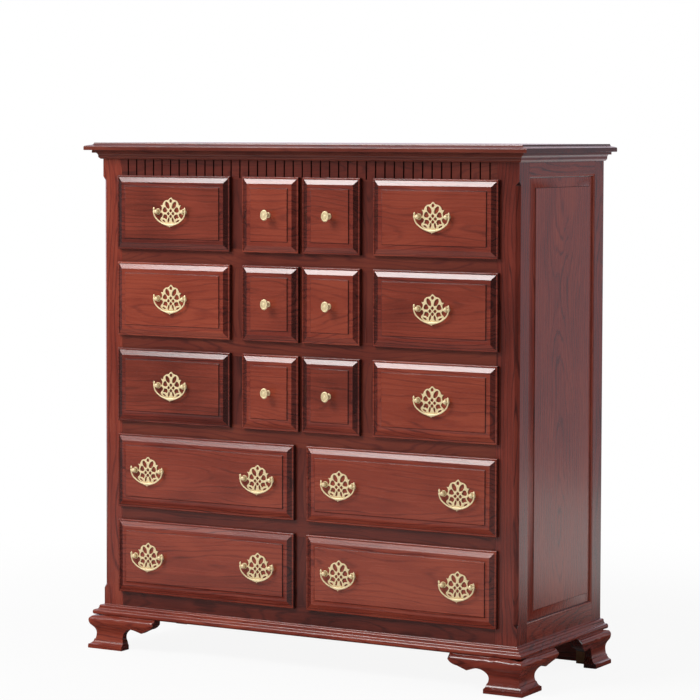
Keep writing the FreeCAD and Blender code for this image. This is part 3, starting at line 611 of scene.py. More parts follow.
def post_shell(side):
    """Post: the chamfer leg rises smoothly from an eased arris to full over the run-out."""
    low, high = chamfer_ends
    rise = np.linspace(0, 1, 7)
    heights = np.concatenate([[foot_top], low + run_out * rise, high - run_out * rise[::-1],
                              [top_underside]])
    ramp = rise * rise * (3 - 2 * rise)
    cut = arris + (chamfer_leg - arris) * np.concatenate([[0], ramp, ramp[::-1], [0]])
    ease, small = 0.25 * MM, 0.5 * MM
    full = cut > 1.5 * arris
    inner, outer, front, rear = half_case - post_width, half_case, face_y, face_y + post_depth
    zero = np.zeros_like(cut)
    section = [
        (inner + ease + zero, front + zero), (outer - cut - small, front + zero),
        (outer - cut + small, front + small * full), (outer - small * full, front + cut - small),
        (outer + zero, front + cut + small), (outer + zero, rear - ease + zero),
        (outer - ease + zero, rear + zero), (inner + ease + zero, rear + zero),
        (inner + zero, rear - ease + zero), (inner + zero, front + ease + zero)]
    rings = np.stack([np.stack([x * side, y, heights], axis=1) for x, y in section], axis=1)
    return loft(rings)


posts = [dressed(post_shell(side), along_z) for side in (-1, 1)]
finish_piece("corner_posts_chamfered", posts, "corner_posts")
print("posts:", len(posts))

# %% [markdown]
# ## Grooved frieze
#
# Above the top drawers runs a board with forty-one upright grooves, an inch apart. Its section
# seen from above is a long line that dips into each groove. The line is carried upwards, and
# near the bottom the dips are let die out, because the plane was stopped short of the end.

# %% Frieze
groove_pitch = 25.4 * MM
groove_depth = 5 * MM
groove_stop = 4.2 * MM
groove_count = 41
groove_offsets = np.array([-1.95, -1.6, -1.45, -1.1, 1.1, 1.45, 1.6, 1.95]) * MM
groove_dip = np.array([0, 0.06, 0.86, 1, 1, 0.86, 0.06, 0])


def frieze_shell():
    """Board whose front dips by groove_dip times the groove depth at every groove."""
    low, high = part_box("frieze_rail")
    centres = (np.arange(groove_count) - (groove_count - 1) / 2) * groove_pitch
    x = (centres[:, None] + groove_offsets).ravel()
    dip = np.tile(groove_dip, groove_count)
    x = np.concatenate([[low.x], x, [high.x, high.x, low.x]])
    dip = np.concatenate([[0], dip, [0, 0, 0]])
    at_back = np.concatenate([np.zeros(len(x) - 2), [1, 1]])
    heights = np.array([low.z, low.z + groove_stop - 0.5 * MM, low.z + groove_stop, high.z])
    strength = np.array([0, 0, 1, 1])
    y = low.y + groove_depth * strength[:, None] * dip + stock * at_back
    rings = np.stack(np.broadcast_arrays(x, y, heights[:, None]), axis=-1)
    points, faces, _ = loft(rings)
    # Groove bottoms get edge -1: painted shade inside each groove.
    return points, faces, (-1.0 * (strength[:, None] * dip > 0.5)).ravel()


finish_piece("grooved_frieze", [dressed(frieze_shell(), along_x, frame_cherry)], "frieze_rail")
print("grooves:", groove_count)

# %% [markdown]
# ## Mouldings round the case
#
# The crown moulding and the base moulding go round three sides with mitred corners. A profile
# gives the distance out from the case and the height. At a corner the profile lies in the
# mitre plane, so a point that is some distance out moves that far both sideways and forwards.
# The top board is a slab whose moulded edge is a rectangle that shrinks while it rises, on
# three sides only.

# %% Mitred runs
def moulding_shells(outline, ease=0.35 * MM):
    """Left, front and right runs of a closed (out, height) profile, as three lofts."""
    out, height = eased(outline, ease).T
    corners = [(-1, back_y, 0), (-1, face_y, 1), (1, face_y, 1), (1, back_y, 0)]
    stations = [np.stack([side * (half_case + out), y - front * out, height], axis=1)
                for side, y, front in corners]
    return [loft(np.stack([a, b])) for a, b in zip(stations, stations[1:])]


crown_profile = profile([
    (-3, 0), (5, 0), (5.6, 1.2), ((8.2, 3.6), (9.2, 7.6)), ((10, 11.6), (12.2, 14.4)),
    (13, 15.3), (20.5, 15.3), (20.5, 22), (-3, 22)]) + (0, crown_bottom)
base_profile = profile([
    (-3, 0), (-0.3, 0), (-0.3, 4.8), (17.2, 5.0), ((20.6, 6.4), (21.7, 9.8)), (21.7, 12.4),
    ((19.9, 15.9), (15.6, 17.3)), (14.0, 17.4), ((11.4, 19.2), (10.6, 22.6)), (9.2, 22.9),
    ((9.3, 26.2), (6.6, 28.4)), (0.6, 29.0), (0, 30.5), (-3, 30.5)]) + (0, foot_top)


for node, outline, material in (("crown_moulding", crown_profile, frame_cherry),
                                ("base_moulding", base_profile, stained_cherry)):
    runs = zip(moulding_shells(outline), (along_y, along_x, along_y))
    finish_piece(node + "_runs", [dressed(shell, axes, material) for shell, axes in runs], node)
print("profiles:", len(crown_profile), "and", len(base_profile), "points")


# %% Raised slabs and the top board
def raised(rect, section, place, sides=(1, 1, 1, 1), edge=None, joined=False):
    """Rectangles drawn in by a section's inset and lifted by its height, lofted into a slab.

    sides scales the inset on the low u, high u, low v and high v side; place turns
    (u, v, height) into x, y, z.
    """
    inset, height = section.T
    u0, u1 = rect[0] + inset * sides[0], rect[1] - inset * sides[1]
    v0, v1 = rect[2] + inset * sides[2], rect[3] - inset * sides[3]
    corners = [(u0, v0), (u1, v0), (u1, v1), (u0, v1)]
    rings = np.stack([np.stack(place(u, v, height), axis=-1) for u, v in corners], axis=1)
    return loft(rings, edge, joined)


top_section = profile([
    (1.2, 0), (0.3, 0.3), (0, 1.2), (0, 7.6), ((0.7, 10.0), (3, 11.2)), ((8.8, 12.6), (14.7, 13.4)),
    ((17.4, 15), (19.2, 18.4)), ((19.4, 18.8), (20, 19))], 6)
top_low, top_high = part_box("top_board")
top_rect = (top_low.x, top_high.x, top_low.y, top_high.y)
top_shell = raised(top_rect, top_section, lambda u, v, h: (u, v, top_low.z + h), (1, 1, 1, 0))
finish_piece("moulded_top", [dressed(top_shell, [0, 1, 2], frame_cherry)], "top_board")
print("top:", len(top_section), "rings")

# %% [markdown]
# ## Panelled sides
#
# Each side is a frame of a rear stile and two rails, with the front post as its fourth member.
# A thin quarter-round runs round the opening, and a raised panel floats inside it: its border
# slopes up to a field that stands a little proud. The panel is a rectangle that shrinks while
# it rises, and so is the quarter-round, except that its last rectangle leads back to its first.

# %% Side frames, quarter-rounds and raised panels
panel_section = profile([
    (0, -11), (0, -5), (8, -5), (14.3, -4.6), (15.6, -4.45), ((25.5, -3.0), (37, -0.1)), (37.3, 0.3),
    (38.1, 1.7), (38.7, 2.0)])
panel_edge = np.zeros(len(panel_section))
# The foot of the border's bevel and the field's step are darkened: dark glaze and painted shade.
panel_edge[3] = -0.9
panel_edge[-3] = -0.8
sticking_section = profile([
    (0, -5.8), (0, -0.15), (0.9, -0.15), (1.1, -0.8), ((5.4, -1.6), (7.6, -4.5)), (7.6, -5.8)])
# The quarter-round's quirks are darkened in the same way, as dark glaze and painted shade.
sticking_edge = np.zeros(len(sticking_section))
sticking_edge[[3, -2]] = -0.8
tongue = 7 * MM
opening_low, opening_high = moulding_top + 42.4 * MM, crown_bottom - 30.1 * MM


def side_shells(side):
    """Frame members, quarter-round and panel of one side; side is -1 or 1."""
    outer = side * half_case
    inner = side * (half_case - stock)
    post_end, stile = face_y + post_depth, back_y - rear_stile_depth
    x0, x1 = min(inner, outer), max(inner, outer)
    members = [((x0, stile, foot_top), (x1, back_y, top_underside)),
               ((x0, post_end, opening_high), (x1, stile, top_underside)),
               ((x0, post_end, foot_top), (x1, stile, opening_low))]
    shells = [dressed(board(a, b, 0.2 * MM), axes)
              for (a, b), axes in zip(members, (side_axes, along_y, along_y))]
    def place(u, v, h):
        return outer + side * h, u, v
    opening = (post_end, stile, opening_low, opening_high)
    panel = (post_end - tongue, stile + tongue, opening_low - tongue, opening_high + tongue)
    sticking = raised(opening, sticking_section, place, edge=sticking_edge, joined=True)
    shells.append(dressed(sticking, side_axes))
    return shells, dressed(raised(panel, panel_section, place, edge=panel_edge), side_axes)


panels = []
for side, node in ((-1, "left_side_frame"), (1, "right_side_frame")):
    members, panel_shell = side_shells(side)
    finish_piece(node.replace("side_frame", "side_framing"), members, node)
    panels.append(panel_shell)
finish_piece("raised_side_panels", panels, "side_panels")
print("side openings from", round(opening_low, 4), "to", round(opening_high, 4))

# %% [markdown]
# ## Bracket feet
#
# A bracket foot is a piece of ogee moulding whose lower edge is sawn to a scroll. Its face is
# a sheet of two parameters: one runs along the sawn outline, the other from that outline to
# the mitred corner. Each sheet point has a distance along the case and a height, and the ogee
# section gives how far out it stands at that height. The flat back of the board has the same
# grid, and a strip joins the two round the rim.

# %% Ogee section and scroll outline
foot_section = profile([
    (29.7, 0), (30.5, 1), (30.5, 10.2), ((23.4, 13.6), (19.1, 20.5)), (18.8, 22.5), (16.7, 23.1),
    ((15, 31.2), (14.5, 36)), ((16.5, 47.6), (22.7, 56.5)), ((28.1, 64.1), (29.5, 70.5)),
    ((27.3, 78.8), (20.5, 82.2)), (17.6, 85.7)], 9)
leg_heights = MM * np.array([
    0, 1, 5, 10.3, 11.4, 12.8, 14.5, 17, 20.5, 22.4, 23.2, 26, 29, 33, 36.5, 40, 44])
foot_inner = -3 * MM
foot_length = 167 * MM
rear_board_length, rear_board_thickness = 115 * MM, 20 * MM


def reach_at(height):
    """Distance out from the case at a height, read from the ogee section."""
    return np.interp(height, foot_section[:, 1], foot_section[:, 0])


def scroll(leg_extra):
    """Sawn edge (along, height) from the floor to the tip, and the matching guide points."""
    pad, waist = 72 + leg_extra, 66 + leg_extra
    leg = profile([(pad, 0), (pad, 10.5), (pad - 2, 14.5), (waist + 3, 20),
                   ((waist, 37), (waist + 8, 47.6))], 10)
    low = np.stack([np.interp(leg_heights, leg[:, 1], leg[:, 0]), leg_heights], axis=1)
    low_guide = np.stack([-reach_at(leg_heights), leg_heights], axis=1)
    arch = profile([(waist + 8, 47.6), (((waist + 116) / 2, 52 + (100 - waist) * 0.1), (108, 52)),
                    (123, 47), (145, 58), ((159, 64), (167, 73)), (167, 85.7)], 9)
    steps = np.linspace(0, 1, len(arch))
    top = foot_section[-1, 1]
    corner = steps * 0.45 * len(arch)
    guide_height = np.clip(47.6 * MM + corner * 9 * MM, None, top)
    along_top = np.clip((steps - 0.28) / 0.72, 0, 1) ** 1.25 * foot_length
    at_top = np.maximum(along_top, -reach_at(top))
    guide_along = np.where(guide_height < top, -reach_at(guide_height), at_top)
    arch_guide = np.stack([guide_along, guide_height], axis=1)
    arch_guide[-1] = (foot_length - 1.5 * MM, top)
    return np.concatenate([low, arch]), np.concatenate([low_guide, arch_guide])


print("foot reaches out", round(float(foot_section[:, 0].max()), 4))


# %% Bracket boards
def sheet_pair(face, rear):
    """Closed shell from two grids of the same size, joined round their rim."""
    rows, columns = face.shape[:2]
    grid = np.arange(rows * columns).reshape(rows, columns)
    quads = np.stack([grid[:-1, :-1], grid[1:, :-1], grid[1:, 1:], grid[:-1, 1:]], axis=-1)
    quads = quads.reshape(-1, 4)
    behind = quads[:, ::-1] + rows * columns
    rim = np.concatenate([grid[0, :-1], grid[:-1, -1], grid[-1, :0:-1], grid[:0:-1, 0]])
    ahead = np.roll(rim, -1)
    strip = np.stack([rim, ahead, ahead + rows * columns, rim + rows * columns], axis=-1)
    points = np.concatenate([face.reshape(-1, 3), rear.reshape(-1, 3)])
    faces = np.concatenate([quads, behind, strip]).tolist()
    return points, outwards(points, faces), np.zeros(len(points))


def bracket_shell(place, leg_extra, mitred):
    """Bracket: straight lines from the scroll to the guide, stood out by the ogee section."""
    edge, guide = scroll(leg_extra)
    mix = np.linspace(0, 1, 26)[:, None]
    sheet = edge[:, None] * (1 - mix) + guide[:, None] * mix
    along, height = sheet[..., 0], sheet[..., 1]
    out = reach_at(height)
    if not mitred:
        along = np.maximum(along, 0)
    rear_along = np.maximum(along, -foot_inner if mitred else 0)
    face = np.stack(np.broadcast_arrays(*place(along, out, height)), axis=-1)
    rear = np.stack(np.broadcast_arrays(*place(rear_along, foot_inner + 0 * out, height)), axis=-1)
    return sheet_pair(face, rear)


def foot_shells(side):
    """Front, front-side, rear-side and rear boards of the two feet on one side."""
    brackets = [
        (lambda along, out, z: (side * (half_case - along), face_y - out, z), 0, True, along_x),
        (lambda along, out, z: (side * (half_case + out), face_y + along, z), 0, True, along_y),
        (lambda along, out, z: (side * (half_case + out), back_y - along, z), 16, False, along_y)]
    shells = [dressed(bracket_shell(*bracket), axes) for *bracket, axes in brackets]
    ends = sorted((side * (half_case - rear_board_length), side * (half_case + foot_inner)))
    rear_board = board((ends[0], back_y - rear_board_thickness, 0), (ends[1], back_y, foot_top))
    return shells + [dressed(rear_board, along_x)]


feet = foot_shells(-1) + foot_shells(1)
finish_piece("bracket_feet_sawn", feet, "bracket_feet")
print("foot boards:", len(feet))

# %% [markdown]
# ## Drawers
#
# A drawer is a plain box behind a lipped front. The front's border is moulded: a rounded lip, a small quirk,
# a long bevel, a shallow hollow and a step up to the field. The lip's outer sides, the quirk and the foot of
# the step are painted dark, as painted shade with glaze. Because the border is the same on all four sides,
# the front is again a rectangle that shrinks while it rises, and the mitre lines come by themselves.

# %% Moulded border of a front
front_section = profile([
    (0.7, 0), (0.15, 0.3), (0, 0.9), (0, 6.4), ((0.9, 8.7), (3, 9.45)), (4.35, 9.5), (4.55, 8.6),
    (4.8, 8.65), (5.8, 9.05), (16.8, 13.9), ((22, 13.7), (26.9, 14.35)), (27.2, 14.5), (28.4, 16.1),
    ((28.6, 16.35), (29.1, 16.5))], 5)
# Marks by inset: below 0 is painted shade with glaze on the lip's outer sides (inset 0 to 0.7), in the quirk
# and at the foot of the field step; above 0 is a rubbed arris.
wear_and_shade_at = {0.7: -0.7, 0.15: -0.7, 0.0: -0.65, 4.35: 0.5, 4.55: -1.0, 4.8: -0.8, 27.2: -0.9, 29.1: 0.7}
front_wear_and_shade = np.array([wear_and_shade_at.get(round(float(i) / MM, 2), 0.0) for i in front_section[:, 0]])
field_thickness = 16.5 * MM
box_board = 12 * MM
lip_overlap, box_clearance, running_clearance = 8 * MM, 1 * MM, 0.3 * MM
box_height, bottom_height, bottom_thickness = 150 * MM, 10 * MM, 5 * MM
print("rings in a front:", len(front_section))


# %% Drawer fronts and boxes
def front_shell(low, high):
    """Raised front between two corners, its field toward -Y."""
    rect = (low.x, high.x, low.z, high.z)
    rear = low.y + field_thickness
    return raised(rect, front_section, lambda u, v, h: (u, rear - h, v), edge=front_wear_and_shade)


def box_shells(low, high):
    """Box front, sides, back and bottom behind a front, from the node's own box."""
    inset, side = lip_overlap + box_clearance, box_board
    x0, x1 = low.x + inset, high.x - inset
    y0, y1 = low.y + field_thickness, high.y
    z0 = low.z + lip_overlap + running_clearance
    z1, bottom = z0 + box_height, z0 + bottom_height
    sizes = [((x0 + side, y0, z0), (x1 - side, y0 + side, z1)), ((x0, y0, z0), (x0 + side, y1, z1)),
             ((x1 - side, y0, z0), (x1, y1, z1)), ((x0 + side, y1 - side, z0), (x1 - side, y1, z1)),
             ((x0 + side, y0 + side, bottom), (x1 - side, y1 - side, bottom + bottom_thickness))]
    return [dressed(board(a, b), None, plain_wood) for a, b in sizes]


drawers = sorted(n for n in frame["nodes"] if n.startswith("drawer_"))
for node in drawers:
    low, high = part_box(node)
    place = node[len("drawer_"):]
    finish_piece("front_" + place, [dressed(front_shell(low, high), along_x)], node)
    finish_piece("box_" + place, box_shells(low, high), node)
print("drawers:", len(drawers))

# %% [markdown]
# ## Pulls
#
# Each pull has a pierced plate, two posts that run through the front and take a nut inside,
# and a bail that swings in the posts. The plate is a flat curve with holes: closed outlines in
# one curve object, filled between them, thickened and given a round bevel. It is made a mesh
# before it is put in place, and its face is domed a little.

# %% Outlines of the pierced plate
def smooth_loop(points, count=6):
    """Closed smooth curve: each span is a cubic of four neighbouring points."""
    p0, p1, p2, p3 = (np.roll(points, k, axis=0)[:, None] for k in (1, 0, -1, -2))
    t = (np.arange(count) / count)[None, :, None]
    curve = 2 * p1 + (p2 - p0) * t + (2 * p0 - 5 * p1 + 4 * p2 - p3) * t ** 2
    return ((curve + (3 * p1 - p0 - 3 * p2 + p3) * t ** 3) / 2).reshape(-1, 2)


def mirrored(half):
    """Right half of an outline, from top to bottom, joined to its mirror image."""
    half = np.array(half, float)
    return np.concatenate([half, half[-2:0:-1] * (-1, 1)])


def opening(x, z, long_half, short_half, lean, pinch=1.0):
    """Leaning oval; a pinch above 1 draws it to four points, as a diamond."""
    turn = np.linspace(0, 2 * math.pi, 20, endpoint=False)
    long = long_half * np.sign(np.sin(turn)) * np.abs(np.sin(turn)) ** pinch
    short = short_half * np.sign(np.cos(turn)) * np.abs(np.cos(turn)) ** pinch
    c, s = math.cos(math.radians(lean)), math.sin(math.radians(lean))
    return np.stack([x + short * c + long * s, z - short * s + long * c], axis=1)


plate_outline = smooth_loop(mirrored([
    (0, 35), (2.4, 34), (4.6, 31.8), (7.6, 29.4), (11, 28.6), (15.6, 27.6), (20, 24.6), (22.8, 20.4),
    (23.8, 17), (27, 15.6), (30.2, 16.2), (27.4, 12.6), (26.2, 8.8), (26.6, 4.6), (28.6, 1.4), (30.4, -1.2),
    (27.4, -3.0), (24.2, -5.6), (24.2, -9.0), (26.2, -12.6), (29.6, -15.6), (31.0, -19.2), (28.4, -23.6),
    (22.4, -28.0), (14.4, -31.4), (7.0, -33.2), (2.4, -34.2), (0, -35.4)]), 5)
single_openings = [(0, 26.6, 4.6, 4.1, 0, 1.15), (0, 2.2, 4.6, 4.2, 0, 1.5), (0, -11.6, 4.6, 4.2, 0, 1.5)]
paired_openings = [(9.9, 16.0, 10.0, 5.5, 29, 1.1), (6.9, -4.8, 4.5, 4.1, 0, 1.5),
                   (6.3, -20.6, 6.8, 2.7, -14, 1.15), (20.2, -23.0, 5.4, 2.2, 62, 1.05)]
paired_loops = [
    [(12.4, 7), (14.6, 10.2), (18.2, 11.2), (21.4, 9.2), (23.2, 5.6), (23.8, 2.4), (22.2, -0.6), (18.4, -1.8),
     (13.8, -1.4), (10.4, 2.0)],
    [(11.6, -8.4), (15.0, -7.2), (19.0, -7.0), (21.0, -8.6), (21.8, -11.8), (23.6, -14.6), (21.2, -16.4),
     (17.0, -16.8), (13.2, -19.2), (11.2, -16.4), (9.6, -12.6)]]
plate_loops = [plate_outline] + [opening(*o) for o in single_openings]
for side in (-1, 1):
    for x, z, long_half, short_half, lean, pinch in paired_openings:
        plate_loops.append(opening(side * x, z, long_half, short_half, side * lean, pinch))
    plate_loops += [smooth_loop(np.array(loop) * (side, 1), 4) for loop in paired_loops]
print("plate outlines:", len(plate_loops))


# %% Plate as a filled curve
plate_thickness = 2 * MM


def plate_shell():
    """Points and faces of the plate round the origin, its back at y = 0, its face toward -Y."""
    curve = bpy.data.curves.new("plate_curve", "CURVE")
    curve.dimensions = "2D"
    curve.fill_mode = "BOTH"
    curve.bevel_depth = 0.45 * MM
    curve.bevel_resolution = 1
    curve.extrude = plate_thickness / 2 - 0.45 * MM
    curve.offset = -0.45 * MM
    for loop in plate_loops:
        spline = curve.splines.new("POLY")
        spline.points.add(len(loop) - 1)
        flat = np.concatenate([loop * MM, np.zeros((len(loop), 1)), np.ones((len(loop), 1))], axis=1)
        spline.points.foreach_set("co", flat.ravel())
        spline.use_cyclic_u = True
    holder = bpy.data.objects.new("plate_holder", curve)
    mesh = bpy.data.meshes.new_from_object(holder)
    place = np.empty(len(mesh.vertices) * 3)
    mesh.vertices.foreach_get("co", place)
    x, z, depth = place.reshape(-1, 3).T
    faces = [list(face.vertices) for face in mesh.polygons]
    dome = 0.9 * MM * np.clip(1 - (x / (30 * MM)) ** 2 - (z / (38 * MM)) ** 2, 0, 1)
    front = (depth + plate_thickness / 2) / plate_thickness
    points = np.stack([x, -front * (plate_thickness + dome), z], axis=1)
    keys, index = np.unique(np.round(points / (0.002 * MM)).astype(np.int64), axis=0, return_inverse=True)
    index = index.reshape(-1)
    merged = np.zeros((len(keys), 3))
    merged[index] = points
    faces = [list(dict.fromkeys(index[face].tolist())) for face in faces]
    faces = [face for face in faces if len(face) > 2]
    bpy.data.objects.remove(holder)
    edge = -0.8 * np.clip(1.2 - 1.6 * (-merged[:, 1] / plate_thickness), 0, 1)
    return merged, outwards(merged, faces), edge


plate = plate_shell()
print("plate:", len(plate[0]), "points")


# %% Turned parts: posts, nuts, knobs
def turned(outline, squash=1.0, edge=None, count=24):
    """Circle of the outline's radius carried along -Y; squash narrows it sideways."""
    radius, forward = outline.T
    turn = np.linspace(0, 2 * math.pi, count, endpoint=False)
    x = np.maximum(radius, 0.02 * MM)[:, None] * np.cos(turn) * squash
    z = np.maximum(radius, 0.02 * MM)[:, None] * np.sin(turn)
    rings = np.stack(np.broadcast_arrays(x, -forward[:, None], z), axis=-1)
    return loft(rings, edge)


shank_end = -(2 + 16.5 + 12 + 4.6)
post_outline = profile([
    (0, 11.2), ((3.4, 10.7), (5.0, 9.3)), (5.2, 8.6), (5.2, 2.6), (4.6, 2.2), (3.3, 2.1), (3.3, 1.7),
    (5.2, 1.7), ((7.0, 1.5), (7.6, 0.7)), (7.6, -1.9), (2.1, -1.95), (2.1, shank_end), (0, shank_end)], 5)
post_edge = np.where((post_outline[:, 1] > 1.6 * MM) & (post_outline[:, 1] < 2.5 * MM), -0.9, 0.0)
post_shell = turned(post_outline, edge=post_edge)
knob_outline = profile([
    (0, 21.9), ((2.6, 21.7), (4.2, 21.1)), (8.2, 21.0), (9.2, 21.2), ((10.3, 22.0), (11.4, 21.7)),
    ((12.7, 20.9), (13, 19.2)), ((11.4, 16.8), (6, 15.4)), (3.9, 14.6), (3.8, 6), ((4.8, 3.2), (7, 1.5)),
    (7.2, 0.9), (7.2, 0.05), (0, 0.05)], 6)
knob_edge = np.where((knob_outline[:, 1] > 20.9 * MM) & (knob_outline[:, 1] < 21.3 * MM), -0.35, 0.0)
knob_shell = turned(knob_outline, 0.81, knob_edge, 36)
nut_outline = profile([(3.9, 0), (4.6, -0.5), (4.6, -3.1), (3.9, -3.6)])
nut_shell = turned(nut_outline, count=6)
screw_outline = profile([(2.0, 10), (2.0, -28.5), (4.0, -28.5), ((3.4, -30.4), (0.3, -31.1))], 5)
screw_shell = turned(screw_outline)
print("turned parts: post, knob, nut, screw")

# %% [markdown]
# ## Bails
#
# A bail is one cast bar: a leaf tip, a ball at the pivot, a bar that bows down, swells in the
# middle and comes back up. It is an oval carried along a path, and its radius is read from a
# short table by the distance along the path. A pin joins each ball to its post.

# %% Bail as a swept oval
post_spread = 38.1
bail_half = 46.0


def swept(path, radius, back=0.0, depth=1.0, count=12):
    """Ovals square to a path in the XZ plane, depth times as deep as wide, moved back along Y."""
    ahead = np.gradient(path, axis=0)
    ahead /= np.linalg.norm(ahead, axis=1, keepdims=True)
    beside = np.stack([-ahead[:, 1], ahead[:, 0]], axis=1)
    turn = np.linspace(0, 2 * math.pi, count, endpoint=False)
    flat_part = (radius[:, None] * np.cos(turn))[..., None] * beside[:, None]
    y = depth * radius[:, None] * np.sin(turn) + np.reshape(back, (-1, 1))
    centre = path[:, None]
    rings = np.stack([centre[..., 0] + flat_part[..., 0], y, centre[..., 1] + flat_part[..., 1]], axis=-1)
    return loft(rings)


def bail_path():
    """Right half of the bail from leaf tip to bottom: a lean, a side arc and a bottom arc."""
    side_radius, drop = 24.0, 33.0
    inset = bail_half - side_radius
    flat = (inset ** 2 + drop ** 2 - side_radius ** 2) / (2 * (drop - side_radius))
    centre = flat - drop
    reach = math.hypot(inset, centre)
    join = np.array([inset + side_radius * inset / reach, -side_radius * centre / reach])
    start = math.atan2(join[1], join[0] - inset)
    side_turn = np.linspace(0, start, 26)[1:]
    side_arc = np.stack([inset + side_radius * np.cos(side_turn), side_radius * np.sin(side_turn)], axis=1)
    half_angle = math.atan2(join[0], centre - join[1])
    low_turn = np.linspace(half_angle, 0, 22)[1:]
    low_arc = np.stack([flat * np.sin(low_turn), centre - flat * np.cos(low_turn)], axis=1)
    rise = np.linspace(11.4, 0, 16)[:, None]
    tip = np.concatenate([bail_half - 0.12 * rise + 1.2 * (rise / 11.4) ** 2, rise], axis=1)
    half = np.concatenate([tip, side_arc, low_arc])
    return np.concatenate([half, half[-2::-1] * (-1, 1)]) * MM


path = bail_path()
travelled = np.concatenate([[0], np.cumsum(np.linalg.norm(np.diff(path, axis=0), axis=1))]) / MM
from_tip = np.minimum(travelled, travelled[-1] - travelled)
bottom = from_tip.max()
radius_table = np.array([
    (0, 0.4), (1.2, 1.3), (3.4, 2.6), (5.6, 2.8), (7.6, 1.8), (8.4, 1.5), (9.3, 2.1), (10.6, 2.4),
    (11.4, 2.5), (12.4, 2.3), (13.8, 1.8), (16, 1.65), (30, 1.8), (bottom - 15, 1.9), (bottom - 13.5, 2.5),
    (bottom - 12.3, 1.9), (bottom - 11, 2.2), (bottom - 4, 3.4), (bottom, 3.5)])
bail_radius = np.interp(from_tip, radius_table[:, 0], radius_table[:, 1]) * MM
bend_back = 2.2 * MM * np.clip(-path[:, 1] / (33 * MM), 0, 1) ** 1.5
bail_shell = swept(path, bail_radius, bend_back, 0.62)
drop_line = np.stack([np.zeros(6), np.array([-33.5, -35.6, -36.8, -37.6, -38.6, -39.0])], axis=1) * MM
drop_shell = swept(drop_line, np.array([1.2, 1.2, 1.0, 1.35, 0.9, 0.2]) * MM, 2.2 * MM)
pin_line = np.array([(39.6, 0.0), (41.0, 0.0), (43.0, 0.0), (46.0, 0.0)]) * MM
pin_shells = [swept(pin_line * (side, 1), np.full(4, 1.55 * MM)) for side in (-1, 1)]
print("bail bar:", round(float(travelled[-1]), 1), "mm long")


# %% Put the pulls and knobs on their drawers
def moved(shell, x, y, z):
    """A brass shell carried from the origin to its place."""
    points, faces, edge = shell
    return dressed((points + (x, y, z), faces, edge), along_x, brass)


arm_reach = (27 * MM, 34 * MM)
arm_height = (-2.6 * MM, 0.6 * MM)


def pull_shells(x, field_y, z):
    """Plate, arms, two posts and two nuts round a centre on a drawer's field."""
    shells = [moved(plate, x, field_y, z)]
    for side in (-1, 1):
        post_x = x + side * post_spread * MM
        shells.append(moved(post_shell, post_x, field_y - plate_thickness, z))
        ends = sorted(x + side * reach for reach in arm_reach)
        arm = board((ends[0], field_y - plate_thickness, z + arm_height[0]),
                    (ends[1], field_y, z + arm_height[1]), 0.5 * MM)
        shells.append(dressed(arm, along_x, brass))
        shells.append(moved(nut_shell, post_x, field_y + field_thickness + box_board, z))
    return shells


bail_joints = {j["child"]: j for j in frame["record"]["behaviour"]["joints"] if j["type"] == "hinge"}
for node in sorted(n for n in frame["nodes"] if n.startswith("pull_plates_")):
    place = node[len("pull_plates_"):]
    field_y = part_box("drawer_" + place)[0].y
    shells = []
    for child, joint in sorted(bail_joints.items()):
        if not child.startswith("swinging_bail_" + place):
            continue
        x, pivot_y, z = joint["pos_m"]
        shells += pull_shells(x, field_y, z)
        bail_parts = [moved(s, x, pivot_y, z) for s in [bail_shell, drop_shell] + pin_shells]
        bail_name = child[len("swinging_bail_"):]
        finish_piece("swing_handle_" + bail_name, bail_parts, "bail_" + bail_name)
    finish_piece("pierced_plate_" + place, shells, node)
for node in sorted(n for n in frame["nodes"] if n.startswith("knob_")):
    low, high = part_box(node)
    x, z = (low.x + high.x) / 2, (low.z + high.z) / 2
    field_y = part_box(node.replace("knob_", "drawer_"))[0].y
    finish_piece("small_" + node, [moved(s, x, field_y, z) for s in (knob_shell, screw_shell)], node)
print("pulls:", len(bail_joints), "with bails")

# %% [markdown]
# ## Floor, surroundings and light
#
# The chest stands on white in soft light. The floor is white to the camera and only
# partly a real surface, so that it keeps the faint shadow of the chest, and it fades out into
# the white of the world. Polished surfaces mirror what is round them: white behind and beside
# the chest, and dark behind the camera. One large soft lamp up on the left draws the bright
# lines on the upper bevels, and two small ones lift the left edges and the panelled side.

# %% Floor
floor_fade = 2.3
floor_size = 3.2


def floor_material():
    """White to the camera with a trace of shadow; bright behind the chest to polished faces."""
    material = bpy.data.materials.new("studio_floor")
    net = Net(material)
    place = net.make("TexCoord", None, None, "Object")
    away = net.make("VectorMath", {"operation": "LENGTH"}, {0: place}, "Value")
    along = net.part(place, "Y")
    behind = along.step(0.5, 1.6)
    before = (0 - along).step(0.5, 1.3)
    seen, mirrored_ray = net.ray("Camera"), net.ray("Glossy")
    solid = 1 - away.step(0.9, floor_fade)
    white = net.make("Emission", None, {"Color": (1, 1, 1, 1), "Strength": 1.0})
    paper = net.make("BsdfDiffuse", None, {"Color": (0.82, 0.82, 0.82, 1)})
    shine = behind * 0.85 + before * 0.42 + 0.03
    sheen = net.make("Emission", None, {"Color": (1, 1, 1, 1), "Strength": shine})
    both = net.make("MixShader", None, {0: seen * (1 - solid * 0.09), 1: paper, 2: white})
    both = net.make("MixShader", None, {0: mirrored_ray, 1: both, 2: sheen})
    net.make("OutputMaterial", None, {"Surface": both})
    return material


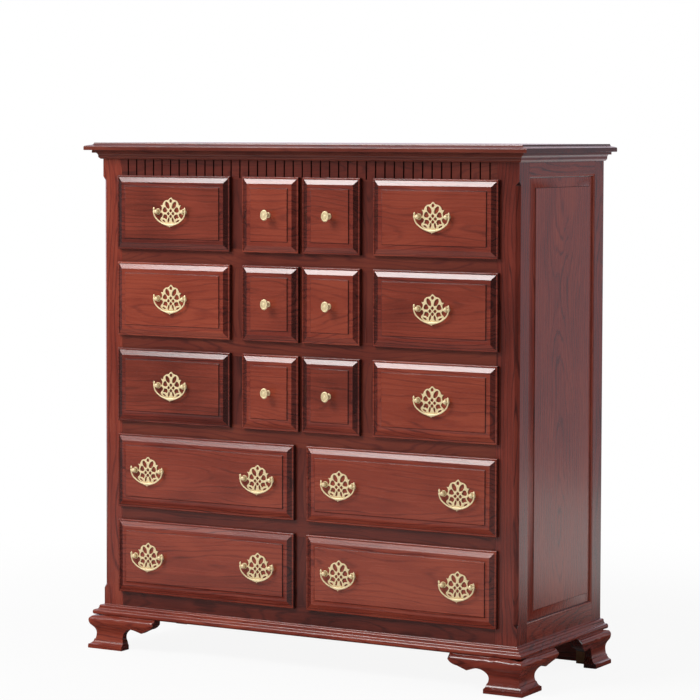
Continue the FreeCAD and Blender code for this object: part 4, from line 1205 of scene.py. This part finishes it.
floor_mesh = bpy.data.meshes.new("studio_floor")
floor_mesh.from_pydata([(-floor_size, -floor_size, 0), (floor_size, -floor_size, 0),
                        (floor_size, floor_size, 0), (-floor_size, floor_size, 0)], [], [(0, 1, 2, 3)])
floor_mesh.materials.append(floor_material())
floor = bpy.data.objects.new("studio_floor", floor_mesh)
bpy.context.scene.collection.objects.link(floor)
floor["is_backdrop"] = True
print("floor", 2 * floor_size, "m square")

# %% World and lamp
world = bpy.data.worlds.new("studio")
bpy.context.scene.world = world
net = Net(world)
direction = net.make("TexCoord", None, None, "Generated")
toward_right, toward_back, upward = [net.part(direction, axis) for axis in "XYZ"]
seen, mirrored_ray, through = [net.ray(kind) for kind in ("Camera", "Glossy", "Transmission")]
behind = toward_back.step(-0.3, 0.5)
beside = toward_right.step(0.18, 0.42) * (1 - toward_right.step(0.55, 0.72))
back_level = (1.0 - toward_right.step(-0.3, 0.3)) + beside * 0.36 + 0.06 + (0 - upward).step(0.12, 0.45)
shown = (seen + through).step(0.0, 1.0)
facing = toward_right.step(-0.80, -0.62) * (1 - toward_right.step(-0.38, -0.20))
glossy_level = behind * back_level + (1 - behind) * (facing * 0.08 + 0.05)
soft_level = 0.33
level = shown + (1 - shown) * (mirrored_ray * glossy_level + (1 - mirrored_ray) * soft_level)
tint = net.blend(mirrored_ray * behind, (1, 1, 1, 1), (0.94, 0.88, 1.0, 1))
sky = net.make("Background", None, {"Color": tint, "Strength": level})
net.make("OutputWorld", None, {"Surface": sky})


def softbox(name, place, target, size, power):
    """Rectangular lamp that looks from a place to a target."""
    data = bpy.data.lights.new(name, "AREA")
    data.shape = "RECTANGLE"
    data.size, data.size_y = size
    data.energy = power
    lamp = bpy.data.objects.new(name, data)
    bpy.context.scene.collection.objects.link(lamp)
    lamp.location = place
    lamp.rotation_mode = "QUATERNION"
    lamp.rotation_quaternion = (Vector(target) - Vector(place)).to_track_quat("-Z", "Y")


softbox("key_lamp", (-2.1, -3.3, 4.15), (0, -0.2, 0.9), (2.1, 1.8), 166)
softbox("left_lamp", (-3.6, -2.4, 2.5), (0, -0.25, 0.8), (1.1, 1.1), 26)
softbox("side_lamp", (3.0, 0.7, 2.3), (0.5, 0.0, 0.7), (1.5, 1.5), 20)
bpy.context.scene.view_settings.view_transform = "Standard"

# %% Bounds of the chest
low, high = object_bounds()
